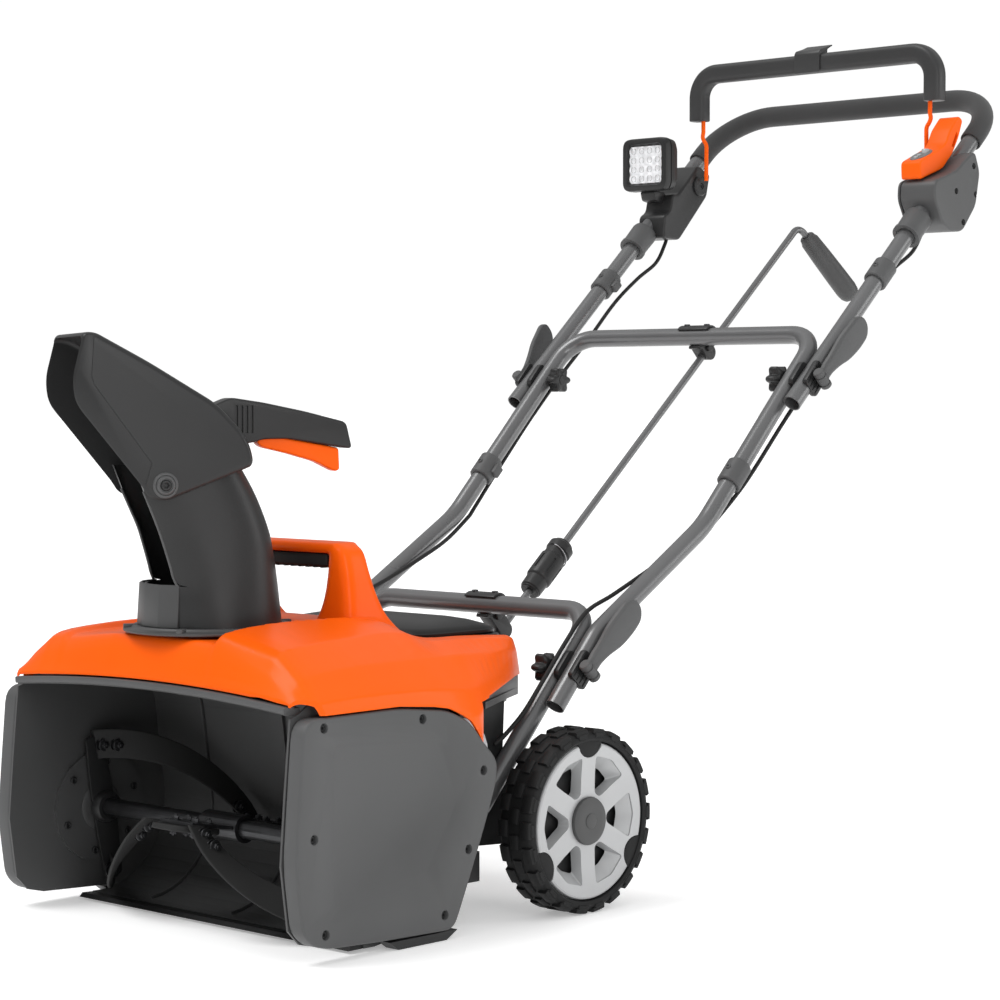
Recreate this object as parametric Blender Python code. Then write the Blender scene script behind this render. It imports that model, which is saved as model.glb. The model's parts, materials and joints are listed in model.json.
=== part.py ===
"""Single stage battery snowblower, modelled as separate sub-parts.

Metres, +Z up. The auger opening faces -Y and the operator stands at +Y. Every y below is the
distance behind the front edge of the side covers, and the empty "frame_origin", to which
everything is parented, moves the model so that the middle of its footprint is the world origin.
"""

import math

import bmesh
import bpy
from mathutils import Matrix, Vector

# ---------------------------------------------------------------- driving dimensions

GAP = 0.0004                       # air left between pieces that touch
BODY_HALF_WIDTH = 0.2725           # outer faces of the two side covers
WALL_INNER_X = 0.2455              # housing end walls
WALL_OUTER_X = 0.2485
SKIN = 0.003                       # moulded wall thickness
FRONT_TO_ORIGIN = 0.6485           # from the front edge back to the middle of the footprint

AUGER_Y, AUGER_Z = 0.112, 0.115    # auger shaft axis
AUGER_RADIUS = 0.100
SCROLL_RADIUS = 0.108
HOUSING_TOP = 0.291
HOUSING_WALL = 0.004
SHAFT_RADIUS = 0.011

MOTOR_Y, MOTOR_Z = 0.262, 0.205
MOTOR_RADIUS = 0.047
AUGER_PULLEY_RADIUS = 0.055
MOTOR_PULLEY_RADIUS = 0.01375

CHUTE_Y = 0.090                    # chute turning axis
CHUTE_YAW = math.radians(-26.0)    # how far the stored chute is turned from straight ahead
RING_RADIUS = 0.105
THROAT_RADIUS = 0.0695
RING_GEAR_RADIUS = 0.0725
HOOD_HOLE_RADIUS = 0.0745
PINION_RADIUS = 0.0115
DEFLECTOR_U, DEFLECTOR_Z = 0.0752, 0.5275   # deflector pivot, ahead of the chute axis

WHEEL_Y, WHEEL_Z = 0.449, 0.113
WHEEL_RADIUS = 0.113
WHEEL_INNER_X, WHEEL_OUTER_X = 0.232, 0.286
RIM_RADIUS = 0.0965
AXLE_RADIUS = 0.008

TUBE_RADIUS = 0.0125               # handle tubes
TUBE_WALL = 0.0016
BRACKET_X, MID_X, UPPER_X = 0.199, 0.226, 0.2525
LOW_BAR_Y, LOW_BAR_Z = 0.548, 0.358
LOW_PIVOT_Y, LOW_PIVOT_Z = 0.487, 0.291
MID_BAR_Y, MID_BAR_Z = 0.985, 0.714
MID_PIVOT_Y, MID_PIVOT_Z = 0.927, 0.653
TOP_BAR_Y, TOP_BAR_Z = 1.392, 1.068
BOLT_RADIUS = 0.004

ROD_X, ROD_RADIUS = 0.012, 0.005
ROD_FOOT_Y, ROD_FOOT_Z = 0.4312, 0.1944
ROD_SLOPE = 0.869
SLEEVE_Y0, SLEEVE_Y1 = 0.634, 0.699
ROD_TOP_Y = 1.222

BAIL_PIVOT_Y, BAIL_PIVOT_Z = 1.272, 0.961
BAIL_HALF_WIDTH = 0.2175
BAIL_TOP_Z = 1.126
BAIL_RADIUS = 0.0145

LAMP_X, LAMP_Y, LAMP_Z = -0.250, 1.196, 0.985
LAMP_WIDTH, LAMP_DEPTH, LAMP_HEIGHT = 0.089, 0.040, 0.082

ROUND = 24                         # sides of a turned piece
TUBE_SIDES = 10

# ---------------------------------------------------------------- materials

COLOURS = {
    "orange_plastic": ((0.90, 0.16, 0.012), 0.25, 0.0),
    "grey_plastic": ((0.105, 0.108, 0.110), 0.55, 0.0),
    "black_plastic": ((0.020, 0.021, 0.022), 0.50, 0.0),
    "dark_paint": ((0.065, 0.067, 0.070), 0.40, 0.3),
    "rubber": ((0.028, 0.028, 0.028), 0.80, 0.0),
    "tyre_rubber": ((0.035, 0.036, 0.036), 0.85, 0.0),
    "foam": ((0.045, 0.045, 0.046), 0.90, 0.0),
    "silver_paint": ((0.55, 0.55, 0.56), 0.35, 0.4),
    "steel": ((0.38, 0.38, 0.39), 0.35, 1.0),
    "aluminium": ((0.50, 0.50, 0.52), 0.45, 1.0),
    "clear_plastic": ((0.85, 0.86, 0.88), 0.10, 0.0),
}


def material(name):
    """The named Principled material, made on first use."""
    found = bpy.data.materials.get(name)
    if found:
        return found
    colour, roughness, metallic = COLOURS[name]
    made = bpy.data.materials.new(name)
    made.use_nodes = True
    shader = made.node_tree.nodes["Principled BSDF"]
    shader.inputs["Base Color"].default_value = (*colour, 1.0)
    shader.inputs["Roughness"].default_value = roughness
    shader.inputs["Metallic"].default_value = metallic
    return made


# ---------------------------------------------------------------- building blocks


def clear_scene():
    for item in list(bpy.data.objects):
        bpy.data.objects.remove(item, do_unlink=True)


def solid(name, verts, faces, finish="black_plastic", smooth=False):
    """A mesh object from points and faces, with its normals turned outwards."""
    mesh = bpy.data.meshes.new(name)
    mesh.from_pydata([tuple(v) for v in verts], [], faces)
    work = bmesh.new()
    work.from_mesh(mesh)
    bmesh.ops.recalc_face_normals(work, faces=work.faces)
    work.to_mesh(mesh)
    work.free()
    if smooth:
        mesh.shade_smooth()
        mesh.set_sharp_from_angle(angle=math.radians(35))
    made = bpy.data.objects.new(name, mesh)
    bpy.context.collection.objects.link(made)
    made.data.materials.append(material(finish))
    return made


def bridge_rings(rings, closed=False, caps=True):
    """Vertices and faces of a skin through rings of equal length."""
    count = len(rings[0])
    verts = [point for ring in rings for point in ring]
    faces = []
    spans = len(rings) if closed else len(rings) - 1
    for i in range(spans):
        a = i * count
        b = ((i + 1) % len(rings)) * count
        for j in range(count):
            k = (j + 1) % count
            faces.append((a + j, a + k, b + k, b + j))
    if caps and not closed:
        faces.append(tuple(range(count)))
        last = (len(rings) - 1) * count
        faces.append(tuple(range(last, last + count)))
    return verts, faces


def prism(name, outline, low, high, axis="X", finish="black_plastic"):
    """An outline pushed along an axis: (y, z) points along X, (x, z) along Y, (x, y) along Z."""
    place = {
        "X": lambda a, b, t: (t, a, b),
        "Y": lambda a, b, t: (a, t, b),
        "Z": lambda a, b, t: (a, b, t),
    }[axis]
    rings = [[place(a, b, t) for a, b in outline] for t in (low, high)]
    return solid(name, *bridge_rings(rings), finish)


def box(name, low, high, finish="black_plastic"):
    outline = [(low[1], low[2]), (high[1], low[2]), (high[1], high[2]), (low[1], high[2])]
    return prism(name, outline, low[0], high[0], "X", finish)


def turned(name, profile, place=Matrix(), steps=ROUND, finish="black_plastic"):
    """A ring turned about the local X axis from a closed (x, radius) profile."""
    rings = []
    for i in range(steps):
        angle = math.tau * i / steps
        rings.append([place @ Vector((x, r * math.cos(angle), r * math.sin(angle)))
                      for x, r in profile])
    return solid(name, *bridge_rings(rings, closed=True), finish, smooth=True)


def rod(name, start, end, radius, steps=16, finish="steel", end_radius=None):
    """A straight round bar between two points, or a cone if end_radius differs."""
    start, end = Vector(start), Vector(end)
    along = (end - start).normalized()
    side = along.orthogonal().normalized()
    across = along.cross(side)
    rings = []
    for centre, r in ((start, radius), (end, end_radius or radius)):
        rings.append([centre + r * (math.cos(math.tau * i / steps) * side
                                    + math.sin(math.tau * i / steps) * across)
                      for i in range(steps)])
    return solid(name, *bridge_rings(rings), finish, smooth=True)


def rounded(points, radii, steps=4):
    """A polyline with each inner corner replaced by an arc of the given radius."""
    points = [Vector(p) for p in points]
    path = [points[0]]
    for before, corner, after, radius in zip(points, points[1:], points[2:], radii):
        to_before = (before - corner).normalized()
        to_after = (after - corner).normalized()
        half = to_before.angle(to_after) / 2
        reach = radius / math.tan(half)
        middle = corner + (to_before + to_after).normalized() * (radius / math.sin(half))
        first = (corner + to_before * reach - middle).normalized()
        last = (corner + to_after * reach - middle).normalized()
        for i in range(steps + 1):
            path.append(middle + radius * first.slerp(last, i / steps))
    path.append(points[-1])
    return path


def frames(path):
    """A pair of cross directions at each point of a path, carried along without twist."""
    across = None
    found = []
    for i, point in enumerate(path):
        before = path[max(i - 1, 0)]
        after = path[min(i + 1, len(path) - 1)]
        along = (after - before).normalized()
        if across is None:
            across = along.orthogonal().normalized()
        across = (across - along * across.dot(along)).normalized()
        found.append((point, across, along.cross(across)))
    return found


def circle_rings(path, radius, sides):
    return [[point + radius * (math.cos(math.tau * i / sides) * a
                               + math.sin(math.tau * i / sides) * b) for i in range(sides)]
            for point, a, b in frames(path)]


def tube(name, path, radius, wall, sides=TUBE_SIDES, finish="dark_paint"):
    """A hollow tube with open ends along a path."""
    outside = circle_rings(path, radius, sides)
    inside = circle_rings(path, radius - wall, sides)
    loops = outside + inside[::-1]
    return solid(name, *bridge_rings(loops, closed=True), finish, smooth=True)


def boolean(target, tool, operation):
    """Cut, join or trim the target with the tool, which is used up."""
    step = target.modifiers.new("shape", "BOOLEAN")
    step.operation = operation
    step.solver = "EXACT"
    step.object = tool
    bpy.context.view_layer.update()
    ready = target.evaluated_get(bpy.context.evaluated_depsgraph_get())
    mesh = bpy.data.meshes.new_from_object(ready)
    target.modifiers.clear()
    target.data = mesh
    bpy.data.objects.remove(tool, do_unlink=True)
    return target


def cut(target, *tools):
    for tool in tools:
        boolean(target, tool, "DIFFERENCE")
    return target


def join(target, *tools):
    for tool in tools:
        boolean(target, tool, "UNION")
    return target


def mirrored(name, source):
    """A left-hand copy of a right-hand piece."""
    mesh = source.data.copy()
    mesh.transform(Matrix.Scale(-1, 4, (1, 0, 0)))
    mesh.flip_normals()
    made = bpy.data.objects.new(name, mesh)
    bpy.context.collection.objects.link(made)
    return made


def arc(centre, radius, first, last, steps):
    """Points of an arc in a plane, in degrees."""
    return [(centre[0] + radius * math.cos(math.radians(first + (last - first) * i / steps)),
             centre[1] + radius * math.sin(math.radians(first + (last - first) * i / steps)))
            for i in range(steps + 1)]


def inset(outline, distance):
    """A closed counter-clockwise outline moved inwards by a distance."""
    moved = []
    count = len(outline)
    for i in range(count):
        before = Vector(outline[i - 1])
        here = Vector(outline[i])
        after = Vector(outline[(i + 1) % count])
        one = (here - before).normalized()
        two = (after - here).normalized()
        normal = Vector((-one.y - two.y, one.x + two.x)).normalized()
        lean = max(normal.dot(Vector((-one.y, one.x))), 0.5)
        moved.append(tuple(here + normal * (distance / lean)))
    return moved


def rod_z(y):
    """Height of the chute crank rod above a point on the ground."""
    return ROD_FOOT_Z + ROD_SLOPE * (y - ROD_FOOT_Y)


def bracket_z(y):
    """Height of the lower bracket's leg, which is in line with both tubes at the pivot."""
    slope = (LOW_BAR_Z - LOW_PIVOT_Z) / (LOW_BAR_Y - LOW_PIVOT_Y)
    return LOW_PIVOT_Z + slope * (y - LOW_PIVOT_Y)


def upper_z(y):
    """Height of the upper handle's leg."""
    slope = (TOP_BAR_Z - MID_PIVOT_Z) / (TOP_BAR_Y - MID_PIVOT_Y)
    return MID_PIVOT_Z + slope * (y - MID_PIVOT_Y)


# ---------------------------------------------------------------- housing, covers and chassis

COVER_OUTLINE = [
    (0.0016, 0.0229), (0.0257, 0.0170), (0.1028, 0.0134), (0.2240, 0.0106), (0.2374, 0.0380),
    (0.2745, 0.1214), (0.2950, 0.1723), (0.2985, 0.2015), (0.2746, 0.2251), (0.2526, 0.2505),
    (0.2160, 0.2677), (0.1350, 0.2768), (-0.0110, 0.2755), (-0.0186, 0.1889),
    (-0.0248, 0.1127), (-0.0147, 0.0397),
]


def auger_housing():
    """The scroll behind the auger and its two end walls with bearing discs."""
    axis = (AUGER_Y, AUGER_Z)
    top = HOUSING_TOP - GAP
    inside = arc(axis, SCROLL_RADIUS, -95, 10, 12) + [(0.204, 0.240), (0.188, top)]
    outside = arc(axis, SCROLL_RADIUS + HOUSING_WALL, -95, 10, 12)
    outside += [(0.208, 0.241), (0.1925, top)]
    half = WALL_INNER_X + 0.001
    body = prism("auger_housing", outside + inside[::-1], -half, half, "X", "black_plastic")
    wall = COVER_OUTLINE[:10] + [(0.2160, 0.2850), (0.0160, 0.2880), (0.0040, 0.2800),
                                  (-0.0105, 0.2745)]
    wall += COVER_OUTLINE[13:]
    for side in (-1, 1):
        low, high = sorted((side * WALL_INNER_X, side * WALL_OUTER_X))
        join(body, prism("wall", wall, low, high))
        disc = Matrix.Translation((side * 0.2435, AUGER_Y, AUGER_Z))
        join(body, rod("disc", disc @ Vector((-0.0025, 0, 0)), disc @ Vector((0.0025, 0, 0)),
                       0.070))
    cut(body, rod("bore", (-0.3, *axis), (0.3, *axis), SHAFT_RADIUS + 0.0015))
    cut(body, rod("bore", (0.2, MOTOR_Y, MOTOR_Z), (0.3, MOTOR_Y, MOTOR_Z), 0.008))
    return body


def side_cover(side, name):
    """A dished cover over one end wall; the belt runs inside the right-hand one."""
    outer = prism(name, COVER_OUTLINE, WALL_OUTER_X + GAP, BODY_HALF_WIDTH, "X", "grey_plastic")
    cut(outer, prism("hollow", inset(COVER_OUTLINE, 0.0028), WALL_OUTER_X - 0.01,
                     BODY_HALF_WIDTH - 0.0025))
    if side > 0:
        return outer
    made = mirrored(name, outer)
    bpy.data.objects.remove(outer, do_unlink=True)
    made.name = name
    return made


def lip_z(x):
    """Height of the arched upper edge of the auger opening."""
    return 0.3005 - 0.0115 * (x / 0.25) ** 2


# Half sections of the hood, from its lower edge to the middle: (y, [(x, z), ...]).
HOOD_SECTIONS = [
    (-0.010, [(0.2725, 0.2775), (0.266, 0.2845), (0.235, lip_z(0.235)), (0.200, lip_z(0.200)),
              (0.145, lip_z(0.145)), (0.125, lip_z(0.125)), (0.060, lip_z(0.060)),
              (0.0, lip_z(0.0))]),
    (0.014, [(0.2725, 0.2780), (0.268, 0.292), (0.238, 0.318), (0.205, 0.340),
             (0.150, 0.350), (0.132, 0.338), (0.070, 0.339), (0.0, 0.339)]),
    (0.090, [(0.2725, 0.2780), (0.268, 0.2935), (0.236, 0.325), (0.195, 0.350),
             (0.150, 0.362), (0.130, 0.340), (0.070, 0.341), (0.0, 0.341)]),
    (0.140, [(0.2725, 0.2780), (0.268, 0.2930), (0.234, 0.325), (0.190, 0.350),
             (0.148, 0.365), (0.128, 0.342), (0.070, 0.343), (0.0, 0.343)]),
    (0.190, [(0.2725, 0.2735), (0.268, 0.292), (0.232, 0.325), (0.185, 0.350),
             (0.145, 0.367), (0.125, 0.345), (0.070, 0.345), (0.0, 0.345)]),
    (0.215, [(0.2725, 0.2700), (0.267, 0.290), (0.228, 0.325), (0.180, 0.352),
             (0.142, 0.366), (0.120, 0.366), (0.060, 0.365), (0.0, 0.364)]),
    (0.265, [(0.2700, 0.2630), (0.262, 0.286), (0.220, 0.322), (0.175, 0.345),
             (0.140, 0.356), (0.115, 0.360), (0.060, 0.360), (0.0, 0.360)]),
    (0.297, [(0.2520, 0.2720), (0.246, 0.288), (0.212, 0.318), (0.170, 0.331),
             (0.140, 0.333), (0.110, 0.333), (0.060, 0.333), (0.0, 0.333)]),
    (0.360, [(0.2170, 0.2785), (0.214, 0.290), (0.195, 0.316), (0.165, 0.330),
             (0.140, 0.333), (0.110, 0.333), (0.060, 0.333), (0.0, 0.333)]),
    (0.430, [(0.1780, 0.2835), (0.177, 0.292), (0.172, 0.313), (0.158, 0.328),
             (0.140, 0.332), (0.110, 0.332), (0.060, 0.332), (0.0, 0.332)]),
    (0.456, [(0.1590, 0.2845), (0.158, 0.291), (0.154, 0.305), (0.145, 0.318),
             (0.125, 0.322), (0.095, 0.322), (0.050, 0.322), (0.0, 0.322)]),
    (0.474, [(0.1400, 0.2845), (0.136, 0.285), (0.128, 0.2855), (0.115, 0.286),
             (0.095, 0.286), (0.070, 0.286), (0.040, 0.286), (0.0, 0.286)]),
]


def hood():
    """The orange top shell with the carry hoop standing on it."""
    rows = []
    for y, half in HOOD_SECTIONS:
        right = [(x, y, z) for x, z in half]
        left = [(-x, y, z) for x, z in half[-2::-1]]
        rows.append(right + left)
    count = len(rows[0])
    verts = [point for row in rows for point in row]
    faces = [(i * count + j, i * count + j + 1, (i + 1) * count + j + 1, (i + 1) * count + j)
             for i in range(len(rows) - 1) for j in range(count - 1)]
    mesh = bpy.data.meshes.new("hood")
    mesh.from_pydata(verts, [], faces)
    shell = bpy.data.objects.new("hood", mesh)
    bpy.context.collection.objects.link(shell)
    shell.data.materials.append(material("orange_plastic"))
    outward_face = max(mesh.polygons, key=lambda face: face.center.z)
    if outward_face.normal.z < 0:
        mesh.flip_normals()
    thick = shell.modifiers.new("thickness", "SOLIDIFY")
    thick.thickness = SKIN
    thick.offset = -1
    bpy.context.view_layer.update()
    ready = shell.evaluated_get(bpy.context.evaluated_depsgraph_get())
    shell.data = bpy.data.meshes.new_from_object(ready)
    shell.modifiers.clear()
    right = [(0.148, 0.3580), (0.130, 0.3700), (0.121, 0.3880), (0.1135, 0.4200),
             (0.108, 0.4400), (0.096, 0.4520), (0.080, 0.4550)]
    inner = [(0.041, 0.3580), (0.0635, 0.3850), (0.0780, 0.4200), (0.0790, 0.4420)]
    arch = right + [(-x, z) for x, z in right[::-1]]
    arch += [(-x, z) for x, z in inner] + inner[::-1]
    join(shell, prism("hoop", arch, 0.199, 0.242, "Y"))
    centre = (0, CHUTE_Y)
    cut(shell, rod("hole", (*centre, 0.30), (*centre, 0.38), HOOD_HOLE_RADIUS, ROUND))
    cut(shell, box("hole", (-0.142, 0.298, 0.30), (0.002, 0.388, 0.36)))
    return shell


def carry_grip():
    """Soft insert under the bar of the carry hoop."""
    grip = box("carry_grip", (-0.0775, 0.204, 0.4250), (0.0775, 0.237, 0.4416), "rubber")
    edges = grip.modifiers.new("round", "BEVEL")
    edges.width = 0.003
    edges.segments = 2
    return grip


def throat_plate():
    """Roof over the auger, with the arched front lip and the collar that the chute turns on."""
    half = WALL_INNER_X - 0.0015
    plate = box("throat_plate", (-half, 0.0040, HOUSING_TOP),
                (half, 0.1925, HOUSING_TOP + SKIN))
    steps = 12
    rings = []
    for i in range(steps + 1):
        x = -half + 2 * half * i / steps
        top, low = lip_z(x) - 0.0035, lip_z(x) - 0.0115
        rings.append([(x, -0.0125, top), (x, 0.0080, top), (x, 0.0080, low), (x, -0.0125, low)])
    join(plate, solid("lip", *bridge_rings(rings)))
    centre = (0, CHUTE_Y)
    join(plate, rod("collar", (*centre, HOUSING_TOP + 0.001), (*centre, 0.348), THROAT_RADIUS,
                    ROUND))
    return cut(plate, rod("bore", (*centre, 0.270), (*centre, 0.360), THROAT_RADIUS - SKIN,
                          ROUND))


def scraper_bar():
    outline = [(0.0800, 0.0032), (0.1018, 0.0032), (0.1018, 0.0072), (0.0850, 0.0080)]
    half = WALL_INNER_X - 0.0010
    return prism("scraper_bar", outline, -half, half, "X", "black_plastic")


def skid(side, name):
    outline = [(0.122, 0.0100), (0.136, 0.0), (0.214, 0.0), (0.232, 0.0100)]
    low, high = sorted((side * 0.2480, side * 0.2690))
    return prism(name, outline, low, high, "X", "black_plastic")


def chassis_pan():
    """Rear chassis: floor, side plates that carry the axle and bracket, rear wall and skirt."""
    floor = box("chassis_pan", (-0.186, 0.2225, 0.085), (0.186, 0.440, 0.089), "black_plastic")
    plate = [(0.322, 0.085), (0.440, 0.078), (0.470, 0.090), (0.476, 0.120), (0.455, 0.140),
             (0.410, 0.150), (0.397, 0.200), (0.400, 0.2610), (0.322, 0.2610)]
    for side in (-1, 1):
        low, high = sorted((side * 0.182, side * 0.186))
        join(floor, prism("plate", plate, low, high))
    join(floor, box("rear_wall", (-0.184, 0.393, 0.087), (0.184, 0.397, 0.2605)))
    join(floor, box("gearbox", (-0.010, 0.3965, 0.165), (0.034, 0.4265, 0.215)))
    outer = [(0.2500, 0.2990), (0.1640, 0.4480), (0.1330, 0.4740), (-0.1330, 0.4740),
             (-0.1640, 0.4480), (-0.2500, 0.2990)]
    inner = [(-0.2455, 0.2965), (-0.1610, 0.4440), (-0.1315, 0.4700), (0.1315, 0.4700),
             (0.1610, 0.4440), (0.2455, 0.2965)]
    join(floor, prism("skirt", outer + inner, 0.2600, 0.2680, "Z"))
    join(floor, box("cross_bar", (-0.225, 0.285, 0.050), (0.225, 0.315, 0.0860)))
    tie = [(0.1980, 0.386), (0.1900, 0.3995), (-0.1900, 0.3995), (-0.1980, 0.386)]
    join(floor, prism("tie", tie, 0.2570, 0.2640, "Z"))
    cut(floor, rod("bore", (-0.2, WHEEL_Y, WHEEL_Z), (0.2, WHEEL_Y, WHEEL_Z),
                   AXLE_RADIUS + 0.0005))
    return floor


def battery():
    pack = box("battery", (-0.136, 0.304, 0.140), (-0.004, 0.384, 0.3265), "grey_plastic")
    edges = pack.modifiers.new("round", "BEVEL")
    edges.width = 0.006
    edges.segments = 1
    return pack


def battery_lid():
    """Low domed lid over the battery well, hinged at its front edge."""
    def ring(grow, z):
        corners = [((0.135 - grow) * sx, 0.377 + (0.075 - grow) * sy) for sx, sy in
                   ((1, -1), (1, 1), (-1, 1), (-1, -1))]
        points = []
        for (x, y), first in zip(corners, (-90, 0, 90, 180)):
            radius = 0.03 - grow * 0.5
            centre = (x - math.copysign(radius, x), y - math.copysign(radius, y - 0.377))
            points += [(*point, z) for point in arc(centre, radius, first, first + 90, 3)]
        return points
    rings = [ring(0.0, 0.3345), ring(0.0, 0.3420), ring(0.012, 0.3500), ring(0.040, 0.3560)]
    return solid("battery_lid", *bridge_rings(rings), "grey_plastic")


# ---------------------------------------------------------------- auger and its drive


def auger_shaft():
    return rod("auger_shaft", (-0.2475, AUGER_Y, AUGER_Z), (0.2650, AUGER_Y, AUGER_Z),
               SHAFT_RADIUS, ROUND, "steel")


def auger_flight(side, name):
    """Two rubber ribbons half a turn apart, carried at their outer end by a steel arm."""
    def ribbon(start):
        steps = 12
        rings = []
        for i in range(steps + 1):
            part = i / steps
            x = side * (0.2365 + (0.040 - 0.2365) * part)
            angle = math.radians(start - 110 * part)
            ring = []
            for dx, radius in ((-0.0045, 0.060), (-0.0045, AUGER_RADIUS),
                               (0.0045, AUGER_RADIUS), (0.0045, 0.060)):
                shift = min(max(x + dx, -0.2400), 0.2400)
                ring.append((shift, AUGER_Y + radius * math.cos(angle),
                             AUGER_Z + radius * math.sin(angle)))
            rings.append(ring)
        return solid("ribbon", *bridge_rings(rings))
    low, high = sorted((side * 0.2340, side * 0.2395))
    start = math.radians(100)
    along = Vector((math.cos(start), math.sin(start)))
    across = Vector((-along.y, along.x))
    middle = Vector((AUGER_Y, AUGER_Z))
    corners = [middle + along * a * 0.092 + across * b * 0.016
               for a, b in ((1, 1), (-1, 1), (-1, -1), (1, -1))]
    arm = prism(name, [tuple(c) for c in corners], low, high, "X", "rubber")
    join(arm, ribbon(100), ribbon(280))
    cut(arm, rod("bore", (side * 0.22, AUGER_Y, AUGER_Z), (side * 0.25, AUGER_Y, AUGER_Z),
                 SHAFT_RADIUS + 0.0005))
    return arm


def auger_center_plate():
    """Steel hub with two wings that carry the throwing paddles."""
    hub = rod("auger_center_plate", (-0.034, AUGER_Y, AUGER_Z), (0.034, AUGER_Y, AUGER_Z),
              0.017, ROUND, "steel")
    join(hub, box("wing", (-0.030, AUGER_Y - 0.002, AUGER_Z - 0.080),
                  (0.030, AUGER_Y + 0.002, AUGER_Z + 0.080)))
    cut(hub, rod("bore", (-0.05, AUGER_Y, AUGER_Z), (0.05, AUGER_Y, AUGER_Z),
                 SHAFT_RADIUS + 0.0005))
    turn_about_auger(hub, 80)
    return hub


def auger_paddle(name, turn):
    """A rubber throwing paddle bolted to one wing of the hub."""
    blade = box(name, (-0.0345, AUGER_Y - 0.0105, AUGER_Z + 0.030),
                (0.0345, AUGER_Y - 0.0024, AUGER_Z + AUGER_RADIUS), "rubber")
    turn_about_auger(blade, turn)
    return blade


def turn_about_auger(piece, degrees):
    centre = Vector((0, AUGER_Y, AUGER_Z))
    turn = Matrix.Rotation(math.radians(degrees), 4, "X")
    piece.data.transform(Matrix.Translation(centre) @ turn @ Matrix.Translation(-centre))


def auger_pulley():
    place = Matrix.Translation((0.2570, AUGER_Y, AUGER_Z))
    bore = SHAFT_RADIUS + 0.0005
    profile = [(-0.0060, bore), (-0.0060, AUGER_PULLEY_RADIUS),
               (-0.0045, AUGER_PULLEY_RADIUS), (-0.0035, AUGER_PULLEY_RADIUS - 0.005),
               (0.0035, AUGER_PULLEY_RADIUS - 0.005), (0.0045, AUGER_PULLEY_RADIUS),
               (0.0060, AUGER_PULLEY_RADIUS), (0.0060, bore)]
    return turned("auger_pulley", profile, place, 32, "black_plastic")


def motor():
    end = (WALL_INNER_X - GAP, MOTOR_Y, MOTOR_Z)
    body = rod("motor", (0.130, MOTOR_Y, MOTOR_Z), end, MOTOR_RADIUS, ROUND, "aluminium")
    cut(body, rod("bore", (0.2350, MOTOR_Y, MOTOR_Z), (0.30, MOTOR_Y, MOTOR_Z), 0.0065))
    return body


def motor_pulley():
    """Small pulley on the motor's shaft end."""
    shaft = rod("motor_pulley", (0.2355, MOTOR_Y, MOTOR_Z), (0.2520, MOTOR_Y, MOTOR_Z), 0.005,
                ROUND, "steel")
    place = Matrix.Translation((0.2570, MOTOR_Y, MOTOR_Z))
    radius = MOTOR_PULLEY_RADIUS + 0.005
    rings = []
    for i in range(ROUND):
        angle = math.tau * i / ROUND
        profile = [(-0.0060, radius), (-0.0045, radius), (-0.0035, MOTOR_PULLEY_RADIUS),
                   (0.0035, MOTOR_PULLEY_RADIUS), (0.0045, radius), (0.0060, radius)]
        rings.append([place @ Vector((x, r * math.cos(angle), r * math.sin(angle)))
                      for x, r in profile])
    columns = [list(column) for column in zip(*rings)]
    join(shaft, solid("wheel", *bridge_rings(columns)))
    return shaft


def drive_belt():
    """The belt loop lying in both pulleys' grooves."""
    big = AUGER_PULLEY_RADIUS - 0.005 + 0.0006
    small = MOTOR_PULLEY_RADIUS + 0.0006
    thick = 0.0035
    auger, drive = Vector((AUGER_Y, AUGER_Z)), Vector((MOTOR_Y, MOTOR_Z))
    run = drive - auger
    heading = math.degrees(math.atan2(run.y, run.x))
    lean = math.degrees(math.acos((big - small) / run.length))
    loops = []
    for extra in (0.0, thick):
        loops.append(arc(auger, big + extra, heading + lean, heading + 360 - lean, 20)
                     + arc(drive, small + extra, heading - lean, heading + lean, 10))
    rings = []
    for inner, outer in zip(*loops):
        rings.append([(0.2540, *inner), (0.2540, *outer), (0.2600, *outer), (0.2600, *inner)])
    return solid("drive_belt", *bridge_rings(rings, closed=True), "rubber")


# ---------------------------------------------------------------- wheels


def axle():
    return rod("axle", (-0.2850, WHEEL_Y, WHEEL_Z), (0.2850, WHEEL_Y, WHEEL_Z), AXLE_RADIUS,
               ROUND, "steel")


def wheel_rim(name):
    """Right-hand rim: a barrel and a face with six triangular windows."""
    place = Matrix.Translation((0, WHEEL_Y, WHEEL_Z))
    bore = AXLE_RADIUS + 0.0005
    profile = [(0.2400, bore), (0.2400, 0.020), (0.2700, 0.020), (0.2700, 0.080),
               (0.2380, 0.088), (0.2380, RIM_RADIUS), (0.2800, RIM_RADIUS),
               (0.2840, 0.090), (0.2760, 0.040), (0.2820, 0.022), (0.2820, bore)]
    rim = turned(name, profile, place, ROUND, "silver_paint")
    for i in range(6):
        middle = math.radians(60 * i + 30)
        corners = []
        for radius, swing in ((0.078, -19), (0.078, 19), (0.036, 12), (0.036, -12)):
            angle = middle + math.radians(swing)
            corners.append((WHEEL_Y + radius * math.cos(angle),
                            WHEEL_Z + radius * math.sin(angle)))
        cut(rim, prism("window", corners, 0.262, 0.300))
    return rim


def tyre(name):
    place = Matrix.Translation((0, WHEEL_Y, WHEEL_Z))
    inner = RIM_RADIUS + 0.0005
    profile = [(WHEEL_INNER_X + 0.006, inner), (WHEEL_INNER_X, inner + 0.006),
               (WHEEL_INNER_X + 0.002, WHEEL_RADIUS - 0.003),
               (WHEEL_INNER_X + 0.010, WHEEL_RADIUS), (WHEEL_OUTER_X - 0.010, WHEEL_RADIUS),
               (WHEEL_OUTER_X - 0.002, WHEEL_RADIUS - 0.003),
               (WHEEL_OUTER_X, inner + 0.006), (WHEEL_OUTER_X - 0.004, inner)]
    return turned(name, profile, place, 36, "tyre_rubber")


# ---------------------------------------------------------------- chute


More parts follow.
